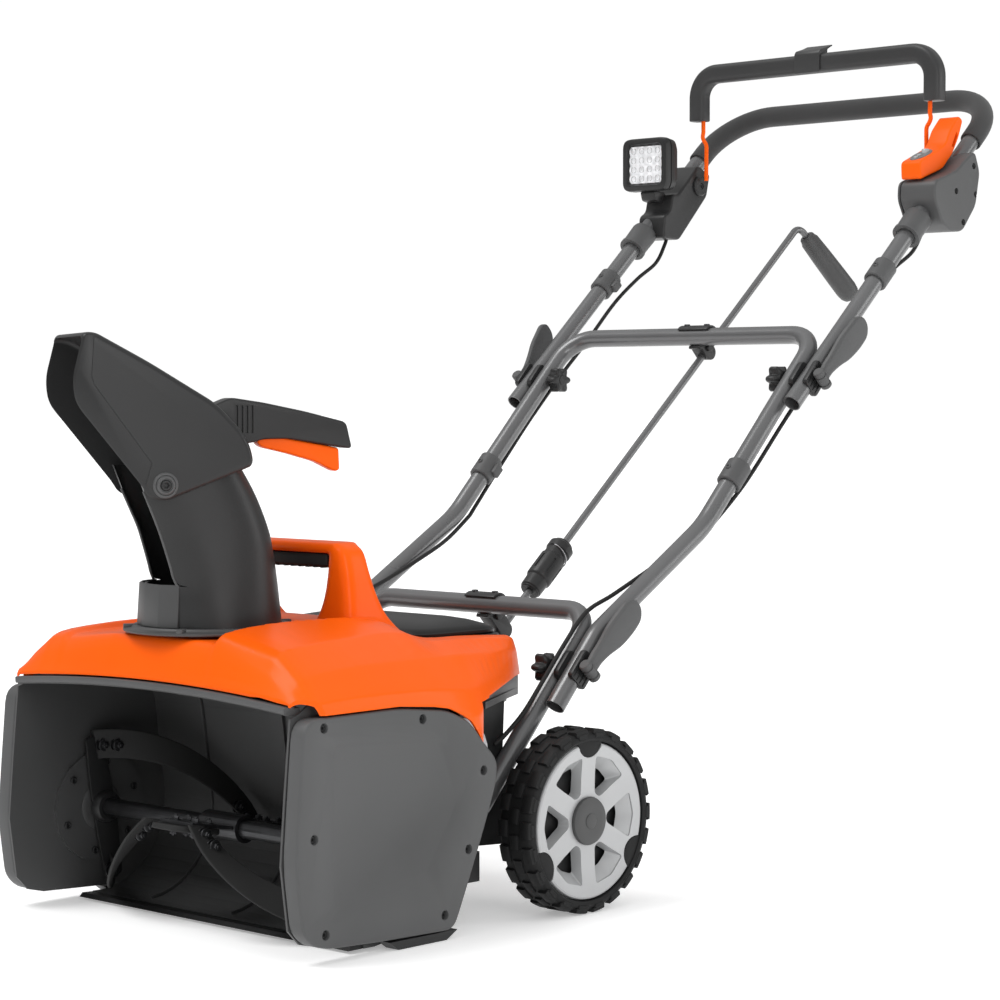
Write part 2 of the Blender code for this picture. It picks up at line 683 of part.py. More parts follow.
def chute_place():
    """From chute coordinates (u ahead, s to the left, z up) to the model."""
    forward = Vector((0, -1, 0))
    turn = Matrix.Rotation(CHUTE_YAW, 4, "Z")
    basis = Matrix(((0, 1, 0, 0), (-1, 0, 0, 0), (0, 0, 1, 0), (0, 0, 0, 1)))
    assert (basis @ Vector((1, 0, 0)) - forward).length < 1e-6
    return Matrix.Translation((0, CHUTE_Y, 0)) @ turn @ basis


def chute_ring():
    """Turning flange on the throat; its gear rim lies under the hood."""
    place = Matrix.Translation((0, CHUTE_Y, 0)) @ Matrix.Rotation(-math.pi / 2, 4, "Y")
    inner = THROAT_RADIUS + 0.001
    gear = RING_GEAR_RADIUS - 0.0003
    profile = [(0.309, inner), (0.309, gear), (0.3525, gear), (0.3525, RING_RADIUS),
               (0.3570, RING_RADIUS),
               (0.3600, 0.100), (0.3600, inner)]
    return turned("chute_ring", profile, place, 36, "black_plastic")


# Chute sections: height, rear edge, front edge, half width, squareness.
CHUTE_SECTIONS = [
    (0.3604, -0.083, 0.083, 0.083, 2.0),
    (0.4100, -0.076, 0.078, 0.079, 2.3),
    (0.4740, -0.063, 0.090, 0.0755, 2.8),
    (0.5135, -0.047, 0.108, 0.0750, 3.0),
    (0.5480, -0.0275, 0.122, 0.0750, 3.2),
]


def chute_section(z, rear, front, half, power, shrink=0.0, count=24):
    middle, reach = (rear + front) / 2, (front - rear) / 2 - shrink
    wide = half - shrink
    ring = []
    for i in range(count):
        angle = math.tau * i / count
        c, s = math.cos(angle), math.sin(angle)
        ring.append((middle + reach * math.copysign(abs(c) ** (2 / power), c),
                     wide * math.copysign(abs(s) ** (2 / power), s), z))
    return ring


def chute_body():
    """Upright channel, closed at its foot and open to the front above the lip."""
    place = chute_place()
    outer = [[place @ Vector(p) for p in chute_section(*row)] for row in CHUTE_SECTIONS]
    body = solid("chute_body", *bridge_rings(outer), "grey_plastic", smooth=True)
    rows = [(z, *rest) for z, *rest in CHUTE_SECTIONS]
    rows[0] = (0.350, *rows[0][1:])
    rows[-1] = (0.560, *rows[-1][1:])
    inner = [[place @ Vector(p) for p in chute_section(*row, SKIN)] for row in rows]
    cut(body, solid("bore", *bridge_rings(inner)))
    front = [(0.060, 0.409), (0.0625, 0.430), (0.0755, 0.474), (0.0950, 0.520),
             (0.1100, 0.560), (0.20, 0.560), (0.20, 0.409)]
    rings = [[place @ Vector((u, s, z)) for u, z in front] for s in (-0.1, 0.1)]
    cut(body, solid("mouth", *bridge_rings(rings)))
    for s in (-1, 1):
        boss = rod("boss", place @ Vector((DEFLECTOR_U, s * 0.0685, DEFLECTOR_Z)),
                   place @ Vector((DEFLECTOR_U, s * 0.0880, DEFLECTOR_Z)), 0.006, 12)
        join(body, boss)
    return body


DEFLECTOR_SIDE = [(0.170, 0.703), (0.155, 0.703), (0.0922, 0.669), (0.0133, 0.6216),
                  (-0.017, 0.590), (-0.027, 0.572), (-0.0320, 0.549), (0.0558, 0.515),
                  (0.0752, 0.5075), (0.0950, 0.5130), (0.1040, 0.5275), (0.180, 0.622),
                  (0.183, 0.651)]
DEFLECTOR_HALF = 0.0815


def deflector():
    """Tilting hood on the chute: two cheeks and a roof, open at the front and below."""
    place = chute_place()
    rings = [[place @ Vector((u, s, z)) for u, z in DEFLECTOR_SIDE]
             for s in (-DEFLECTOR_HALF, DEFLECTOR_HALF)]
    shell = solid("deflector", *bridge_rings(rings), "grey_plastic")
    space = [(0.200, 0.6998), (0.1558, 0.6998), (0.0937, 0.6664), (0.0150, 0.6192),
             (-0.0145, 0.5885), (-0.0242, 0.5712), (-0.0298, 0.540), (-0.0298, 0.480),
             (0.200, 0.480)]
    inner = DEFLECTOR_HALF - SKIN
    rings = [[place @ Vector((u, s, z)) for u, z in space] for s in (-inner, inner)]
    cut(shell, solid("space", *bridge_rings(rings)))
    cut(shell, rod("bore", place @ Vector((DEFLECTOR_U, -0.1, DEFLECTOR_Z)),
                   place @ Vector((DEFLECTOR_U, 0.1, DEFLECTOR_Z)), 0.0066, 12))
    return shell


def chute_prism(name, outline, half, finish):
    place = chute_place()
    rings = [[place @ Vector((u, s, z)) for u, z in outline] for s in (-half, half)]
    return solid(name, *bridge_rings(rings), finish)


def deflector_handle():
    """Arm behind the deflector, for tilting it."""
    outline = [(-0.0185, 0.5960), (0.0050, 0.6210), (-0.020, 0.6290), (-0.060, 0.6225),
               (-0.163, 0.5990), (-0.1715, 0.5650), (-0.0900, 0.5790), (-0.0480, 0.5750),
               (-0.0345, 0.5720), (-0.0290, 0.5780)]
    handle = chute_prism("deflector_handle", outline, 0.0165, "grey_plastic")
    slot = [(-0.050, 0.560), (-0.1640, 0.560), (-0.1640, 0.578), (-0.0900, 0.5930),
            (-0.050, 0.5930)]
    cut(handle, chute_prism("slot", slot, 0.0125, "grey_plastic"))
    return handle


def deflector_trigger():
    """Squeeze lever in the arm's slot that frees the deflector."""
    outline = [(-0.053, 0.5880), (-0.0700, 0.5880), (-0.0900, 0.5800), (-0.1550, 0.5680),
               (-0.1560, 0.5410), (-0.1500, 0.5390), (-0.1250, 0.5520), (-0.0900, 0.5620),
               (-0.0600, 0.5690), (-0.053, 0.5740)]
    return chute_prism("deflector_trigger", outline, 0.0115, "orange_plastic")


def chute_pinion():
    """Pinion that turns the ring, on top of the hidden flexible drive."""
    centre = (0, CHUTE_Y + RING_GEAR_RADIUS + PINION_RADIUS)
    return rod("chute_pinion", (*centre, 0.302), (*centre, 0.321), PINION_RADIUS - 0.0003,
               ROUND, "steel")


def rod_guide(name, bar_y, bar_z):
    """Clamp on a crossbar with an eye for the crank rod."""
    length = math.hypot(1, ROD_SLOPE)
    down = Vector((ROD_SLOPE / length, -1 / length))
    bar = Vector((bar_y, bar_z))
    offset = (rod_z(bar_y) - bar_z) / -length
    eye = bar + down * offset
    heading = math.degrees(math.atan2(down.y, down.x))
    outline = arc(bar, 0.0185, heading + 80, heading + 280, 10)
    outline += arc(eye, 0.0110, heading - 70, heading + 70, 6)
    plate = prism(name, outline, ROD_X - 0.0110, ROD_X + 0.0110, "X", "black_plastic")
    cut(plate, rod("bore", (-0.1, *bar), (0.1, *bar), TUBE_RADIUS + 0.0005, ROUND))
    cut(plate, rod("bore", (ROD_X, eye.x - 0.08, rod_z(eye.x - 0.08)),
                   (ROD_X, eye.x + 0.08, rod_z(eye.x + 0.08)), ROD_RADIUS + 0.0008, 12))
    return plate


def crank_rod_lower():
    return rod("crank_rod_lower", (ROD_X, ROD_FOOT_Y, ROD_FOOT_Z),
               (ROD_X, SLEEVE_Y0 - 0.0005, rod_z(SLEEVE_Y0 - 0.0005)), ROD_RADIUS, 12,
               "dark_paint")


def crank_directions():
    """Along the rod, and along the bent grip, which is square to it."""
    along = Vector((0, 1, ROD_SLOPE)).normalized()
    hang = Vector((0, along.z, -along.y))
    swing = math.radians(13.4)
    return along, hang * math.cos(swing) + Vector((1, 0, 0)) * math.sin(swing)


def crank_rod_upper():
    """Crank rod above its coupling sleeve, bent square at the top to carry the grip."""
    along, out = crank_directions()
    top = Vector((ROD_X, ROD_TOP_Y, rod_z(ROD_TOP_Y)))
    start = Vector((ROD_X, SLEEVE_Y1 - 0.004, rod_z(SLEEVE_Y1 - 0.004)))
    path = rounded([start, top, top + out * 0.140], [0.014])
    bar = solid("crank_rod_upper", *bridge_rings(circle_rings(path, ROD_RADIUS, 12)),
                "dark_paint", smooth=True)
    sleeve = rod("sleeve", (ROD_X, SLEEVE_Y0, rod_z(SLEEVE_Y0)),
                 (ROD_X, SLEEVE_Y1, rod_z(SLEEVE_Y1)), 0.018, ROUND)
    return join(bar, sleeve)


def crank_grip():
    """Loose-turning plastic grip on the bent end of the crank rod."""
    along, out = crank_directions()
    base = Vector((ROD_X, ROD_TOP_Y, rod_z(ROD_TOP_Y))) + out * 0.020
    turn = Vector((1, 0, 0)).rotation_difference(out).to_matrix().to_4x4()
    place = Matrix.Translation(base) @ turn
    bore = ROD_RADIUS + 0.0007
    profile = [(0.0, bore), (0.0, 0.0110), (0.010, 0.0145), (0.105, 0.0165), (0.116, 0.0140),
               (0.122, 0.0100), (0.122, bore)]
    return turned("crank_grip", profile, place, 20, "black_plastic")


# ---------------------------------------------------------------- handles


def bolt_bore(x, y, z):
    return rod("bore", (x - 0.03, y, z), (x + 0.03, y, z), BOLT_RADIUS + 0.0006, 12)


def drilled(piece, x, y, z):
    """Drill both legs of a handle for its pivot bolts."""
    return cut(piece, bolt_bore(x, y, z), bolt_bore(-x, y, z))


def u_tube(name, leg, x, radii):
    """A U-shaped tube: the leg's (y, z) points run up to the crossbar, mirrored at the other side."""
    right = [Vector((x, y, z)) for y, z in leg]
    left = [Vector((-x, y, z)) for y, z in leg[::-1]]
    path = rounded(right + left, list(radii) + list(radii)[::-1])
    return tube(name, path, TUBE_RADIUS, TUBE_WALL)


def lower_bracket():
    foot_y = 0.342
    bracket = u_tube("lower_bracket", [(foot_y, bracket_z(foot_y)), (LOW_BAR_Y, LOW_BAR_Z)],
                     BRACKET_X, [0.040])
    return drilled(bracket, BRACKET_X, LOW_PIVOT_Y, LOW_PIVOT_Z)


def mid_handle():
    tail_y = 0.4480
    leg = [(tail_y, bracket_z(tail_y)), (0.526, bracket_z(0.526)), (0.735, 0.4595),
           (MID_BAR_Y, MID_BAR_Z)]
    handle = u_tube("mid_handle", leg, MID_X, [0.08, 0.16, 0.045])
    drilled(handle, MID_X, LOW_PIVOT_Y, LOW_PIVOT_Z)
    return drilled(handle, MID_X, MID_PIVOT_Y, MID_PIVOT_Z)


def upper_path():
    start_y = 0.890
    legs = [Vector((UPPER_X, start_y, upper_z(start_y))), Vector((UPPER_X, TOP_BAR_Y, TOP_BAR_Z)),
            Vector((-UPPER_X, TOP_BAR_Y, TOP_BAR_Z)),
            Vector((-UPPER_X, start_y, upper_z(start_y)))]
    return rounded(legs, [0.085, 0.085], 5)


def upper_handle():
    handle = tube("upper_handle", upper_path(), TUBE_RADIUS, TUBE_WALL)
    return drilled(handle, UPPER_X, MID_PIVOT_Y, MID_PIVOT_Z)


def handlebar_foam():
    """Foam sleeve over the crossbar and its two bends."""
    path = upper_path()
    first, last = path[1], path[-2]
    leg = (first - path[0]).normalized()
    path[0] = first - leg * 0.022
    path[-1] = last - leg * 0.022
    outer = circle_rings(path, 0.0158, TUBE_SIDES)
    inner = circle_rings(path, TUBE_RADIUS + 0.0004, TUBE_SIDES)
    return solid("handlebar_foam", *bridge_rings(outer + inner[::-1], closed=True), "foam",
                 smooth=True)


def pivot_knob(name, side, x_head, x_tip, y, z):
    """Star knob on a bolt that runs out through both handle tubes."""
    lobes = 6
    outline = []
    for i in range(lobes * 4):
        angle = math.tau * i / (lobes * 4)
        radius = 0.0165 + 0.0030 * math.cos(lobes * angle)
        outline.append((y + radius * math.cos(angle), z + radius * math.sin(angle)))
    low, high = sorted((side * (x_head - 0.020), side * x_head))
    knob = prism(name, outline, low, high, "X", "black_plastic")
    bolt = rod("bolt", (side * (x_head - 0.005), y, z), (side * x_tip, y, z), BOLT_RADIUS, 12)
    return join(knob, bolt)


def cam_lever(name, side, x_base, y, z, slope):
    """Quick-release lever that lies along the tube, hinged by its round root."""
    along = Vector((1, slope)).normalized()
    across = Vector((-along.y, along.x))
    pivot = Vector((y, z))
    x_axis = x_base + 0.0085

    def point(a, b):
        return pivot + along * a + across * b

    blade_outline = [(0.000, -0.0130), (0.030, -0.0150), (0.060, -0.0210), (0.092, -0.0220),
                     (0.108, -0.0120), (0.110, 0.0080), (0.098, 0.0180), (0.060, 0.0170),
                     (0.030, 0.0130), (0.000, 0.0130)]
    inner = x_base + 0.0030
    lift = 0.0160
    rings = []
    for level in (0.0, 0.0085):
        rings.append([(side * (inner + level + lift * max(a - 0.02, 0) / 0.09),
                       *point(a, b)) for a, b in blade_outline])
    lever = solid(name, *bridge_rings(rings), "grey_plastic")
    ends = [Vector((side * x_axis, *point(0, b))) for b in (-0.0145, 0.0145)]
    return join(lever, rod("root", *ends, 0.0082, 16))


# ---------------------------------------------------------------- controls, bail and lamp


def tube_bore(x, y0, y1):
    return rod("bore", (x, y0, upper_z(y0)), (x, y1, upper_z(y1)), TUBE_RADIUS + 0.0005, ROUND)


def control_housing():
    """Switch box clamped round the right-hand tube."""
    outline = [(1.178, 0.9080), (1.198, 0.8740), (1.225, 0.8620), (1.250, 0.8640),
               (1.283, 0.9020), (1.293, 0.9500), (1.280, 0.9800), (1.2615, 0.9700),
               (1.235, 0.9500), (1.180, 0.9320)]
    body = prism("control_housing", outline, 0.2230, 0.2830, "X", "grey_plastic")
    hollow = [(1.194, 0.9080), (1.208, 0.8820), (1.247, 0.8760), (1.272, 0.9080),
              (1.280, 0.9450), (1.276, 0.9600), (1.262, 0.9600), (1.235, 0.9420),
              (1.194, 0.9290)]
    cut(body, prism("hollow", hollow, 0.2150, 0.2800))
    join(body, rod("boss", (UPPER_X, 1.195, upper_z(1.195)), (UPPER_X, 1.285, upper_z(1.285)),
                   0.0155, ROUND))
    cut(body, tube_bore(UPPER_X, 1.10, 1.40))
    return body


def control_side_plate():
    """Inner half of the switch box, with the bail's pivot slot."""
    outline = [(1.178, 0.9080), (1.198, 0.8740), (1.225, 0.8620), (1.250, 0.8640),
               (1.283, 0.9020), (1.293, 0.9500), (1.280, 0.9800), (1.2615, 0.9700),
               (1.235, 0.9500), (1.180, 0.9320)]
    return prism("control_side_plate", outline, 0.2190, 0.2226, "X", "grey_plastic")


def control_bezel():
    """Orange key panel on top of the switch box, with its upright fin."""
    outline = [(1.180, 0.9340), (1.235, 0.9530), (1.262, 0.9760), (1.276, 1.0000),
               (1.286, 1.0260), (1.274, 1.0320), (1.252, 1.0100), (1.236, 0.9840),
               (1.178, 0.9600)]
    body = prism("control_bezel", outline, 0.2240, 0.2580, "X", "orange_plastic")
    cut(body, rod("bore", (0.241, 1.216, 0.93), (0.241, 1.216, 1.02), 0.0066, 16))
    return body


def power_button():
    return rod("power_button", (0.241, 1.216, 0.9640), (0.241, 1.216, 0.9815), 0.0060, 16,
               "grey_plastic")


def bail_housing_left():
    """Clamp on the left tube that pivots the bail and carries the lamp bracket."""
    outline = [(1.186, 0.8720), (1.225, 0.8700), (1.292, 0.9400), (1.300, 0.9750),
               (1.270, 0.9880), (1.240, 0.9580), (1.222, 0.9405), (1.2085, 0.9405),
               (1.2020, 0.9140), (1.188, 0.9060)]
    body = prism("bail_housing_left", outline, -0.2700, -0.2180, "X", "grey_plastic")
    cut(body, tube_bore(-UPPER_X, 1.10, 1.40))
    return body


def bail():
    """Operator bail: a plastic bar over a wire that pivots in the two side housings."""
    drop_z = 1.055
    path = rounded([(BAIL_HALF_WIDTH, BAIL_PIVOT_Y, drop_z),
                    (BAIL_HALF_WIDTH, BAIL_PIVOT_Y, BAIL_TOP_Z),
                    (-BAIL_HALF_WIDTH, BAIL_PIVOT_Y, BAIL_TOP_Z),
                    (-BAIL_HALF_WIDTH, BAIL_PIVOT_Y, drop_z)], [0.036, 0.036], 5)
    bar = solid("bail", *bridge_rings(circle_rings(path, BAIL_RADIUS, 12)), "grey_plastic",
                smooth=True)
    for side in (-1, 1):
        x = side * 0.2100
        wire = [Vector((x, BAIL_PIVOT_Y, drop_z + 0.010)), Vector((x, BAIL_PIVOT_Y, 1.040)),
                Vector((x - side * 0.006, BAIL_PIVOT_Y, 1.025)),
                Vector((x - side * 0.006, BAIL_PIVOT_Y, BAIL_PIVOT_Z))]
        join(bar, solid("wire", *bridge_rings(circle_rings(wire, 0.0030, 8))))
        join(bar, rod("pin", (x - side * 0.0105, BAIL_PIVOT_Y, BAIL_PIVOT_Z),
                      (x + side * 0.0030, BAIL_PIVOT_Y, BAIL_PIVOT_Z), 0.008, 16))
    hook = [(0.022, 1.1280), (0.022, 1.1550), (-0.022, 1.1550), (-0.022, 1.1280)]
    return join(bar, prism("hook", hook, BAIL_PIVOT_Y - 0.0145, BAIL_PIVOT_Y + 0.018, "Y"))


def lamp_housing():
    low = (LAMP_X - LAMP_WIDTH / 2, LAMP_Y - LAMP_DEPTH / 2, LAMP_Z - LAMP_HEIGHT / 2)
    high = (LAMP_X + LAMP_WIDTH / 2, LAMP_Y + LAMP_DEPTH / 2, LAMP_Z + LAMP_HEIGHT / 2)
    case = box("lamp_housing", low, high, "black_plastic")
    edges = case.modifiers.new("round", "BEVEL")
    edges.width = 0.008
    edges.segments = 2
    bpy.context.view_layer.update()
    ready = case.evaluated_get(bpy.context.evaluated_depsgraph_get())
    case.data = bpy.data.meshes.new_from_object(ready)
    case.modifiers.clear()
    cut(case, box("mouth", (low[0] + 0.012, low[1] - 0.01, low[2] + 0.012),
                  (high[0] - 0.012, low[1] + 0.012, high[2] - 0.012)))
    return case


def lamp_lens():
    half_x, half_z = LAMP_WIDTH / 2 - 0.0125, LAMP_HEIGHT / 2 - 0.0125
    front = LAMP_Y - LAMP_DEPTH / 2
    return box("lamp_lens", (LAMP_X - half_x, front + 0.004, LAMP_Z - half_z),
               (LAMP_X + half_x, front + 0.008, LAMP_Z + half_z), "clear_plastic")


# Control cable: (x, y, z) along the right-hand tubes, from the switch box to the chassis.
CABLE_ROUTE = [
    (0.2380, 1.2120, 0.8620), (0.2370, 1.1900, 0.8340), (0.2360, 1.1450, 0.8080),
    (0.2350, 1.0910, 0.7700), (0.2340, 1.0300, 0.7140), (0.2330, 0.9700, 0.6620),
    (0.2320, 0.9000, 0.5960), (0.2290, 0.8200, 0.5150), (0.2200, 0.7600, 0.4520),
    (0.2080, 0.7000, 0.4150), (0.2050, 0.6400, 0.3900), (0.2050, 0.5800, 0.3780),
    (0.2050, 0.5300, 0.3680), (0.2060, 0.4900, 0.3240), (0.2060, 0.4500, 0.2810),
    (0.2040, 0.4150, 0.2420), (0.1960, 0.3900, 0.2160), (0.1900, 0.3780, 0.2050),
]


def cable(name, side):
    """A cable clipped along one side of the handle, as a tube on a smooth curve."""
    points = [Vector((side * x, y, z)) for x, y, z in CABLE_ROUTE]
    line = []
    for i in range(len(points) - 1):
        p0, p1 = points[max(i - 1, 0)], points[i]
        p2, p3 = points[i + 1], points[min(i + 2, len(points) - 1)]
        for step in range(3):
            t = step / 3
            line.append(0.5 * ((2 * p1) + (p2 - p0) * t + (2 * p0 - 5 * p1 + 4 * p2 - p3) * t ** 2
                               + (3 * p1 - p0 - 3 * p2 + p3) * t ** 3))
    line.append(points[-1])
    curve = bpy.data.curves.new(name, "CURVE")
    curve.dimensions = "3D"
    curve.bevel_depth = 0.0028
    curve.bevel_resolution = 2
    curve.use_fill_caps = True
    spline = curve.splines.new("POLY")
    spline.points.add(len(line) - 1)
    for point, place in zip(spline.points, line):
        point.co = (*place, 1.0)
    made = bpy.data.objects.new(name, curve)
    bpy.context.collection.objects.link(made)
    made.data.materials.append(material("rubber"))
    return made


# ---------------------------------------------------------------- assembly


def hang(pieces, name, position, parent):
    """Parent pieces, as they lie, to an empty on their joint's axis."""
    pivot = bpy.data.objects.new(name, None)
    bpy.context.collection.objects.link(pivot)
    pivot.location = position
    pivot.empty_display_size = 0.02
    bpy.context.view_layer.update()
    for piece in pieces:
        piece.parent = pivot
        piece.matrix_parent_inverse = pivot.matrix_world.inverted()
    if parent is not None:
        pivot.parent = parent
        pivot.matrix_parent_inverse = parent.matrix_world.inverted()
    return pivot


def build():
    clear_scene()
    fixed = [
        auger_housing(), side_cover(-1, "side_cover_left"), side_cover(1, "side_cover_right"),
        hood(), carry_grip(), throat_plate(), scraper_bar(), skid(-1, "skid_left"),
        skid(1, "skid_right"), chassis_pan(), battery(), motor(), drive_belt(),
        lower_bracket(), axle(), rod_guide("rod_guide_lower", LOW_BAR_Y, LOW_BAR_Z),
    ]
    base = hang(fixed, "frame_origin", (0, 0, 0), None)

    hang([battery_lid()], "lid_hinge", (0, 0.302, 0.340), base)
    hang([motor_pulley()], "motor_axis", (0.25, MOTOR_Y, MOTOR_Z), base)
    hang([auger_shaft(), auger_pulley(), auger_center_plate(), auger_paddle("auger_paddle_a", 35),
          auger_paddle("auger_paddle_b", 260), auger_flight(-1, "auger_flight_left"),
          auger_flight(1, "auger_flight_right")], "auger_axis", (0, AUGER_Y, AUGER_Z), base)

    rim, rubber = wheel_rim("wheel_rim_right"), tyre("tyre_right")
    left = [mirrored("wheel_rim_left", rim), mirrored("tyre_left", rubber)]
    hang([rim, rubber], "wheel_axis_right", (WHEEL_OUTER_X, WHEEL_Y, WHEEL_Z), base)
    hang(left, "wheel_axis_left", (-WHEEL_OUTER_X, WHEEL_Y, WHEEL_Z), base)

    turning = hang([chute_ring(), chute_body()], "chute_axis", (0, CHUTE_Y, 0.356), base)
    pivot = chute_place() @ Vector((DEFLECTOR_U, 0, DEFLECTOR_Z))
    tilting = hang([deflector(), deflector_handle()], "deflector_axis", pivot, turning)
    squeeze = chute_place() @ Vector((-0.060, 0, 0.580))
    hang([deflector_trigger()], "trigger_axis", squeeze, tilting)
    hang([chute_pinion()], "pinion_axis",
         (0, CHUTE_Y + RING_GEAR_RADIUS + PINION_RADIUS, 0.315), base)
    hang([crank_rod_lower()], "lower_rod_axis", (ROD_X, ROD_FOOT_Y, ROD_FOOT_Z), base)

    low_pivot = (0, LOW_PIVOT_Y, LOW_PIVOT_Z)
    mid_pivot = (0, MID_PIVOT_Y, MID_PIVOT_Z)
    folding = hang([mid_handle(), rod_guide("rod_guide_upper", MID_BAR_Y, MID_BAR_Z),
                    cable("cable_left", -1), cable("cable_right", 1)],
                   "mid_fold_axis", low_pivot, base)
    crank = hang([crank_rod_upper()], "crank_axis", (ROD_X, ROD_TOP_Y, rod_z(ROD_TOP_Y)), folding)
    along, out = crank_directions()
    hang([crank_grip()], "crank_grip_axis",
         Vector((ROD_X, ROD_TOP_Y, rod_z(ROD_TOP_Y))) + out * 0.020, crank)
    upper = hang([upper_handle(), handlebar_foam(), control_housing(), control_side_plate(),
                  control_bezel(), bail_housing_left()], "upper_fold_axis", mid_pivot, folding)
    hang([power_button()], "power_button_axis", (0.241, 1.216, 0.9815), upper)
    hang([lamp_housing(), lamp_lens()], "lamp_axis", (LAMP_X, 1.214, 0.941), upper)
    hang([bail()], "bail_axis", (0, BAIL_PIVOT_Y, BAIL_PIVOT_Z), upper)

    low_slope = (LOW_BAR_Z - LOW_PIVOT_Z) / (LOW_BAR_Y - LOW_PIVOT_Y)
    mid_slope = (MID_BAR_Z - MID_PIVOT_Z) / (MID_BAR_Y - MID_PIVOT_Y)
    for word, side in (("left", -1), ("right", 1)):
        inner_low, outer_low = BRACKET_X - TUBE_RADIUS, MID_X + TUBE_RADIUS
        inner_mid, outer_mid = MID_X - TUBE_RADIUS, UPPER_X + TUBE_RADIUS
        low_knob = pivot_knob("low_knob_" + word, side, inner_low - 0.001, outer_low + 0.0015,
                              LOW_PIVOT_Y, LOW_PIVOT_Z)
        low_lever = cam_lever("low_lever_" + word, side, outer_low + 0.0020, LOW_PIVOT_Y,
                              LOW_PIVOT_Z, low_slope)
        hang([low_knob], "low_knob_axis_" + word, (side * inner_low, *low_pivot[1:]), base)
        hang([low_lever], "low_lever_axis_" + word, (side * (outer_low + 0.0105),
                                                     *low_pivot[1:]), base)
        mid_knob = pivot_knob("mid_knob_" + word, side, inner_mid - 0.001, outer_mid + 0.0015,
                              MID_PIVOT_Y, MID_PIVOT_Z)
        mid_lever = cam_lever("mid_lever_" + word, side, outer_mid + 0.0020, MID_PIVOT_Y,
                              MID_PIVOT_Z, mid_slope)
        hang([mid_knob], "mid_knob_axis_" + word, (side * inner_mid, *mid_pivot[1:]), folding)
        hang([mid_lever], "mid_lever_axis_" + word, (side * (outer_mid + 0.0105),
                                                     *mid_pivot[1:]), folding)
    base.location.y = -FRONT_TO_ORIGIN


build()
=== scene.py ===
"""Looks for the single stage snowblower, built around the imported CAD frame."""
import json
import math

import bmesh
import bpy
from mathutils import Matrix, Vector


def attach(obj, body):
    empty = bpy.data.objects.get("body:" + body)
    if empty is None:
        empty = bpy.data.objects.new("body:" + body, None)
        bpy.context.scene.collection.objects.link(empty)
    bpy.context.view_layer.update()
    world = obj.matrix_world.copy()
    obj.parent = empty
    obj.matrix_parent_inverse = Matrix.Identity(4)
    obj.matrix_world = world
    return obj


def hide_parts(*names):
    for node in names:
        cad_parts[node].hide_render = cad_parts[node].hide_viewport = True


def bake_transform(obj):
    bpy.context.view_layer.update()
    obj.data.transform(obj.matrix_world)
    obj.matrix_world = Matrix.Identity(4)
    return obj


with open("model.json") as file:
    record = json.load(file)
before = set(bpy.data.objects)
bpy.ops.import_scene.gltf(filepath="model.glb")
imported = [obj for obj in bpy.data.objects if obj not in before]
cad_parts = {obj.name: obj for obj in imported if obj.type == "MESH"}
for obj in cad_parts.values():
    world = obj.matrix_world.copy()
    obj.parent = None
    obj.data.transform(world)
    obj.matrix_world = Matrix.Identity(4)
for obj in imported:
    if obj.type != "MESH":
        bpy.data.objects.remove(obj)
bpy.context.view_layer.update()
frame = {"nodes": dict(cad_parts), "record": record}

FRONT = 0.6485        # from the front edge of the side covers back to the frame's origin
NODES = frame["nodes"]
SIDES = ((-1, "left"), (1, "right"))

CAMERA_PLACE = (2.4487, -2.0087, 0.6312)     # x, distance behind the front edge, height
CAMERA_DIP, CAMERA_TURN = 2.222, 43.304      # degrees below level, and about the vertical
CAMERA_LENS, SENSOR_WIDTH = 97.34, 36.0      # mm
FLOOR_REACH, FLOOR_DROP = 60.0, 0.0004
GLOW = ((0.0, 0.55), (0.48, 0.3), (0.58, 0.26), (0.72, 0.62), (1.0, 1.0))   # height, light


def at(x, y, z):
    """A point from x, distance behind the front edge, and height."""
    return Vector((x, y - FRONT, z))


# ---------------------------------------------------------------- camera, floor and light

def fill(target, **inputs):
    """Set a shader node's inputs; an underscore stands for a space."""
    for key, value in inputs.items():
        target.inputs[key.replace("_", " ")].default_value = value
    return target


def node(tree, kind, **inputs):
    """A new shader node."""
    return fill(tree.nodes.new("ShaderNode" + kind), **inputs)


def make_camera():
    data = bpy.data.cameras.new("camera")
    data.lens = CAMERA_LENS
    data.sensor_width = SENSOR_WIDTH
    data.clip_end = 200.0
    camera = bpy.data.objects.new("camera", data)
    camera.location = at(*CAMERA_PLACE)
    camera.rotation_euler = (math.radians(90 - CAMERA_DIP), 0.0, math.radians(CAMERA_TURN))
    bpy.context.scene.collection.objects.link(camera)
    bpy.context.scene.camera = camera


def make_floor():
    """A pale floor that glows a little, so that it fades into the white backdrop."""
    mesh = bpy.data.meshes.new("floor")
    spread = [(a * FLOOR_REACH, b * FLOOR_REACH, -FLOOR_DROP)
              for a, b in ((-1, -1), (1, -1), (1, 1), (-1, 1))]
    mesh.from_pydata(spread, [], [(0, 1, 2, 3)])
    floor = bpy.data.objects.new("floor", mesh)
    bpy.context.scene.collection.objects.link(floor)
    pale = bpy.data.materials.new("floor_pale")
    pale.use_nodes = True
    fill(pale.node_tree.nodes["Principled BSDF"], Base_Color=(0.93, 0.93, 0.93, 1),
         Roughness=0.55, Specular_IOR_Level=0.25, Emission_Color=(1.0, 1.0, 1.0, 1),
         Emission_Strength=0.32)
    mesh.materials.append(pale)


